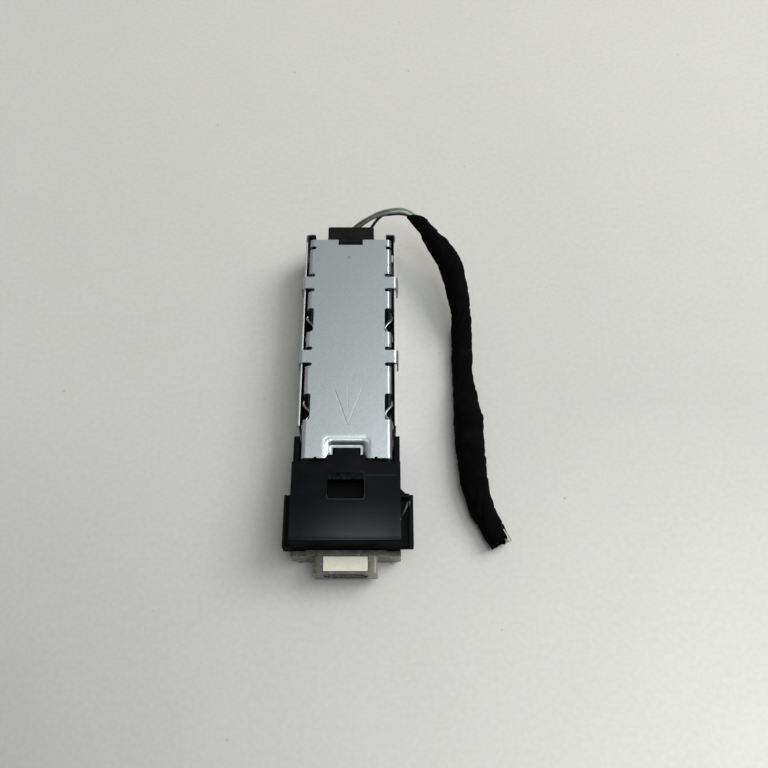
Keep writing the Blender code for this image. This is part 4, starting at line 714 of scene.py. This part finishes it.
on_ramp = near_pocket * (along > POCKET_REAR) * (along < RAMP_REAR) * (level < NOSE_TOP - 0.02)
pocket_middle = (0.0, (POCKET_FRONT + RAMP_REAR) / 2)
pocket_half = (POCKET_HALF, (RAMP_REAR - POCKET_FRONT) / 2)
pocket_lip = abs(rim_distance(place, pocket_middle, pocket_half, 0.6) - 0.06).spread(0.12, 0.04)
# Painted highlight: a thin light line round the pocket's rim, strongest at its front and right.
pocket_lip_painted_highlight = pocket_lip * ((along < POCKET_FRONT + 1.0) + (across > 3.0) * 0.45).spread(0.0, 1.0) * on_skin
satin = place.clouds(9.0, 3.0)
smears = place.scaled((0.25, 0.5, 0.5)).clouds(1.0, 4.0)
dust = place.flecks(1.1, 0.05) * place.clouds(0.8).spread(0.52, 0.62) * 0.5
parting = scored_line(place, *PARTING_LINE, 0.06) * (level > NOSE_TOP - 0.2)
moulded = smears.spread(0.35, 0.65).tint((0.0022, 0.0024, 0.0026), (0.0046, 0.0050, 0.0056))
# Painted shade: the pocket and the front face are coloured darker.
moulded = (in_pocket + on_front * 0.8).spread(0.0, 1.0).tint(moulded, (0.0007, 0.0007, 0.0007))
# Painted light: the ramp behind the pocket is coloured lighter in blotches, most at its lower end, as it
# faces the light.
ramp_blotches = place.scaled((1.3, 0.8, 1.0)).clouds(1.0, 5.0).spread(0.34, 0.70)
ramp_painted_light = on_ramp * ramp_blotches * along.spread(RAMP_REAR, POCKET_REAR, 0.15, 1.0)
moulded = ramp_painted_light.tint(moulded, (0.040, 0.040, 0.039))
# Painted highlight: a grey stripe along the rail's spring finger, where light catches its face.
finger_painted_highlight = scored_line(place, *FINGER_LINE, 0.42) * (level > RAIL_TOP)
moulded = (finger_painted_highlight * 0.7).tint(moulded, (0.24, 0.24, 0.23))
feed(shader, "Base Color", (dust + parting * 0.45 + pocket_lip_painted_highlight * 0.32).tint(moulded, (0.12, 0.12, 0.12)))
feed(shader, "Roughness", smears.spread(0.3, 0.7, 0.40, 0.55) + dust * 0.3 + on_front * 0.4)
polish = along.spread(SHEEN_FRONT, SHEEN_REAR, 1.0, 0.28)
polish = polish * along.spread(NOSE_FRONT, SHEEN_FRONT - 0.3, 0.35, 1.0)
polish_across = abs(across - SHEEN_MIDDLE).spread(2.5, 9.5, 1.0, 0.35)
gloss = polish * polish * polish_across * smears.spread(0.3, 0.7, 1.0, 0.8)
feed(shader, "Coat Weight", on_skin * gloss + 0.03)
emboss(shader, satin * 0.3 + parting * 0.7, 0.00003, 0.5)
dress(black_moulding, "front_housing", edge=0.00012, steps=3)

# Light guide
# A cloudy clear moulding: a plate across the front of the nose, a collar round the port, and two
# legs that run back to the lamps on the board. It carries their light to the front rim; here it is unlit.
cloudy, shader, place = new_finish("cloudy_light_guide", IOR=1.49, Transmission_Weight=0.35,
                                   Subsurface_Weight=0.5, Subsurface_Radius=(0.8, 0.8, 0.7),
                                   Subsurface_Scale=0.0012)
haze = place.clouds(0.8, 4.0)
clouded = haze.spread(0.30, 0.70).tint((0.15, 0.146, 0.114), (0.27, 0.262, 0.215))
PLATE_FRONT = -37.9
# Painted light: the plate's front is coloured paler towards the right, where the window lights it.
painted_light_right = place.axis(0).spread(3.8, 6.6) * (place.axis(1) < PLATE_FRONT)
feed(shader, "Base Color", (painted_light_right * 0.7).tint(clouded, (0.50, 0.47, 0.42)))
feed(shader, "Roughness", haze.spread(0.3, 0.7, 0.16, 0.30))
emboss(shader, place.clouds(2.0, 3.0), 0.00003, 0.4)
dress(cloudy, "light_guide", edge=0.00015, steps=3)

# Diffuser
# An opaque block of milky plastic, moulded and pressed into the top of the collar. It spreads the
# light above the port.
cream, shader, place = new_finish("cream_block", Subsurface_Weight=0.1, Subsurface_Radius=(1.0, 0.8, 0.5),
                                  Subsurface_Scale=0.0004)
stain = place.clouds(1.2, 4.0)
grit = place.flecks(2.2, 0.06) * place.clouds(1.0).spread(0.5, 0.6)
creamy = stain.spread(0.35, 0.65).tint((0.96, 0.90, 0.72), (1.0, 0.97, 0.82))
feed(shader, "Base Color", (grit * 0.5).tint(creamy, (0.30, 0.28, 0.24)))
feed(shader, "Roughness", stain.spread(0.3, 0.7, 0.36, 0.50))
emboss(shader, stain, 0.00003, 0.4)
dress(cream, "diffuser", edge=None)

# Port
# A drawn and nickel-plated steel tube round a black moulded tongue, which has contacts on both
# faces. It stands on the front of the board.
nickel, shader, place = new_finish("port_tube", Metallic=1.0)
brushed = place.scaled((2.0, 0.4, 2.0)).clouds(1.5, 3.0)
feed(shader, "Base Color", brushed.tint((0.50, 0.50, 0.49), (0.68, 0.67, 0.65)))
feed(shader, "Roughness", brushed.spread(0.3, 0.7, 0.22, 0.36))
dress(nickel, "usb_shell", edge=0.00005)
port_black, shader, place = new_finish("port_tongue_black", Roughness=0.45)
feed(shader, "Base Color", place.clouds(2.0).tint((0.008, 0.008, 0.008), (0.016, 0.016, 0.017)))
emboss(shader, place.clouds(8.0), 0.00002, 0.4)
dress(port_black, "usb_insulator", edge=None)

# Board and what is soldered to it
# Green solder mask over copper, with a charge chip, a coil, four aluminium capacitors and two
# white lamps beside the port.
mask, shader, place = new_finish("green_board", Roughness=0.35)
traces = (place.axis(0).wave(1.7) > 0.55) * place.clouds(0.35).spread(0.48, 0.52)
feed(shader, "Base Color", traces.tint((0.003, 0.026, 0.012), (0.007, 0.050, 0.023)))
emboss(shader, traces, 0.00003, 0.5)
dress(mask, "circuit_board", edge=None)
epoxy, shader, place = new_finish("chip_epoxy", Roughness=0.55)
feed(shader, "Base Color", place.clouds(6.0).tint((0.010, 0.010, 0.011), (0.020, 0.020, 0.021)))
emboss(shader, place.clouds(12.0), 0.00002, 0.5)
dress(epoxy, "charge_chip", edge=None)
ferrite, shader, place = new_finish("coil_ferrite", Roughness=0.62)
feed(shader, "Base Color", place.clouds(3.0, 4.0).tint((0.055, 0.055, 0.060), (0.10, 0.10, 0.105)))
emboss(shader, place.clouds(7.0, 3.0), 0.00004, 0.6)
dress(ferrite, "power_inductor", edge=None)
can, shader, place = new_finish("can_aluminium", Metallic=1.0)
feed(shader, "Base Color", place.clouds(1.5, 3.0).tint((0.58, 0.59, 0.60), (0.74, 0.75, 0.76)))
feed(shader, "Roughness", place.clouds(3.0).spread(0.3, 0.7, 0.26, 0.38))
dress(can, *[f"capacitor_{i}" for i in range(1, 5)], edge=None)
lamp_white, shader, place = new_finish("lamp_white", Roughness=0.35)
feed(shader, "Base Color", place.clouds(2.0).tint((0.66, 0.66, 0.60), (0.78, 0.78, 0.74)))
dress(lamp_white, "led_left", "led_right", edge=None)

# Socket and its pins
# A black moulded box at the rear of the board, open behind for the plug. Its four square tinned
# pins are pressed into it, and each meets a crimped contact of the plug.
socket_black, shader, place = new_finish("socket_black", Roughness=0.48)
feed(shader, "Base Color", place.clouds(1.5, 3.0).tint((0.009, 0.009, 0.010), (0.016, 0.016, 0.017)))
emboss(shader, place.clouds(8.0), 0.00002, 0.5)
dress(socket_black, "header_housing", edge=0.00008)
tin, shader, place = new_finish("tinned_contacts", Metallic=1.0)
feed(shader, "Base Color", place.clouds(2.5, 3.0).tint((0.60, 0.57, 0.50), (0.76, 0.74, 0.68)))
feed(shader, "Roughness", place.clouds(4.0).spread(0.3, 0.7, 0.22, 0.36))
dress(tin, *[f"header_pin_{i}" for i in range(1, 5)], *[f"terminal_{i}" for i in range(1, 5)], edge=0.00003)

# Plug
# A black moulded plug with a latch lever on top. A cream moulded bar below is pushed in when the
# contacts are in place and locks them.
plug_black, shader, place = new_finish("plug_black", Specular_IOR_Level=0.20)
haze = place.clouds(1.0, 4.0)
feed(shader, "Base Color", haze.spread(0.35, 0.65).tint((0.0030, 0.0030, 0.0033), (0.0060, 0.0060, 0.0064)))
feed(shader, "Roughness", haze.spread(0.3, 0.7, 0.42, 0.58))
emboss(shader, place.clouds(8.0, 3.0), 0.00003, 0.5)
dress(plug_black, "plug_housing", edge=0.00010, steps=3)
lock_cream, shader, place = new_finish("lock_cream", Roughness=0.48)
feed(shader, "Base Color", place.clouds(1.4, 3.0).tint((0.56, 0.54, 0.47), (0.68, 0.66, 0.60)))
dress(lock_cream, "plug_lock", edge=0.00004)
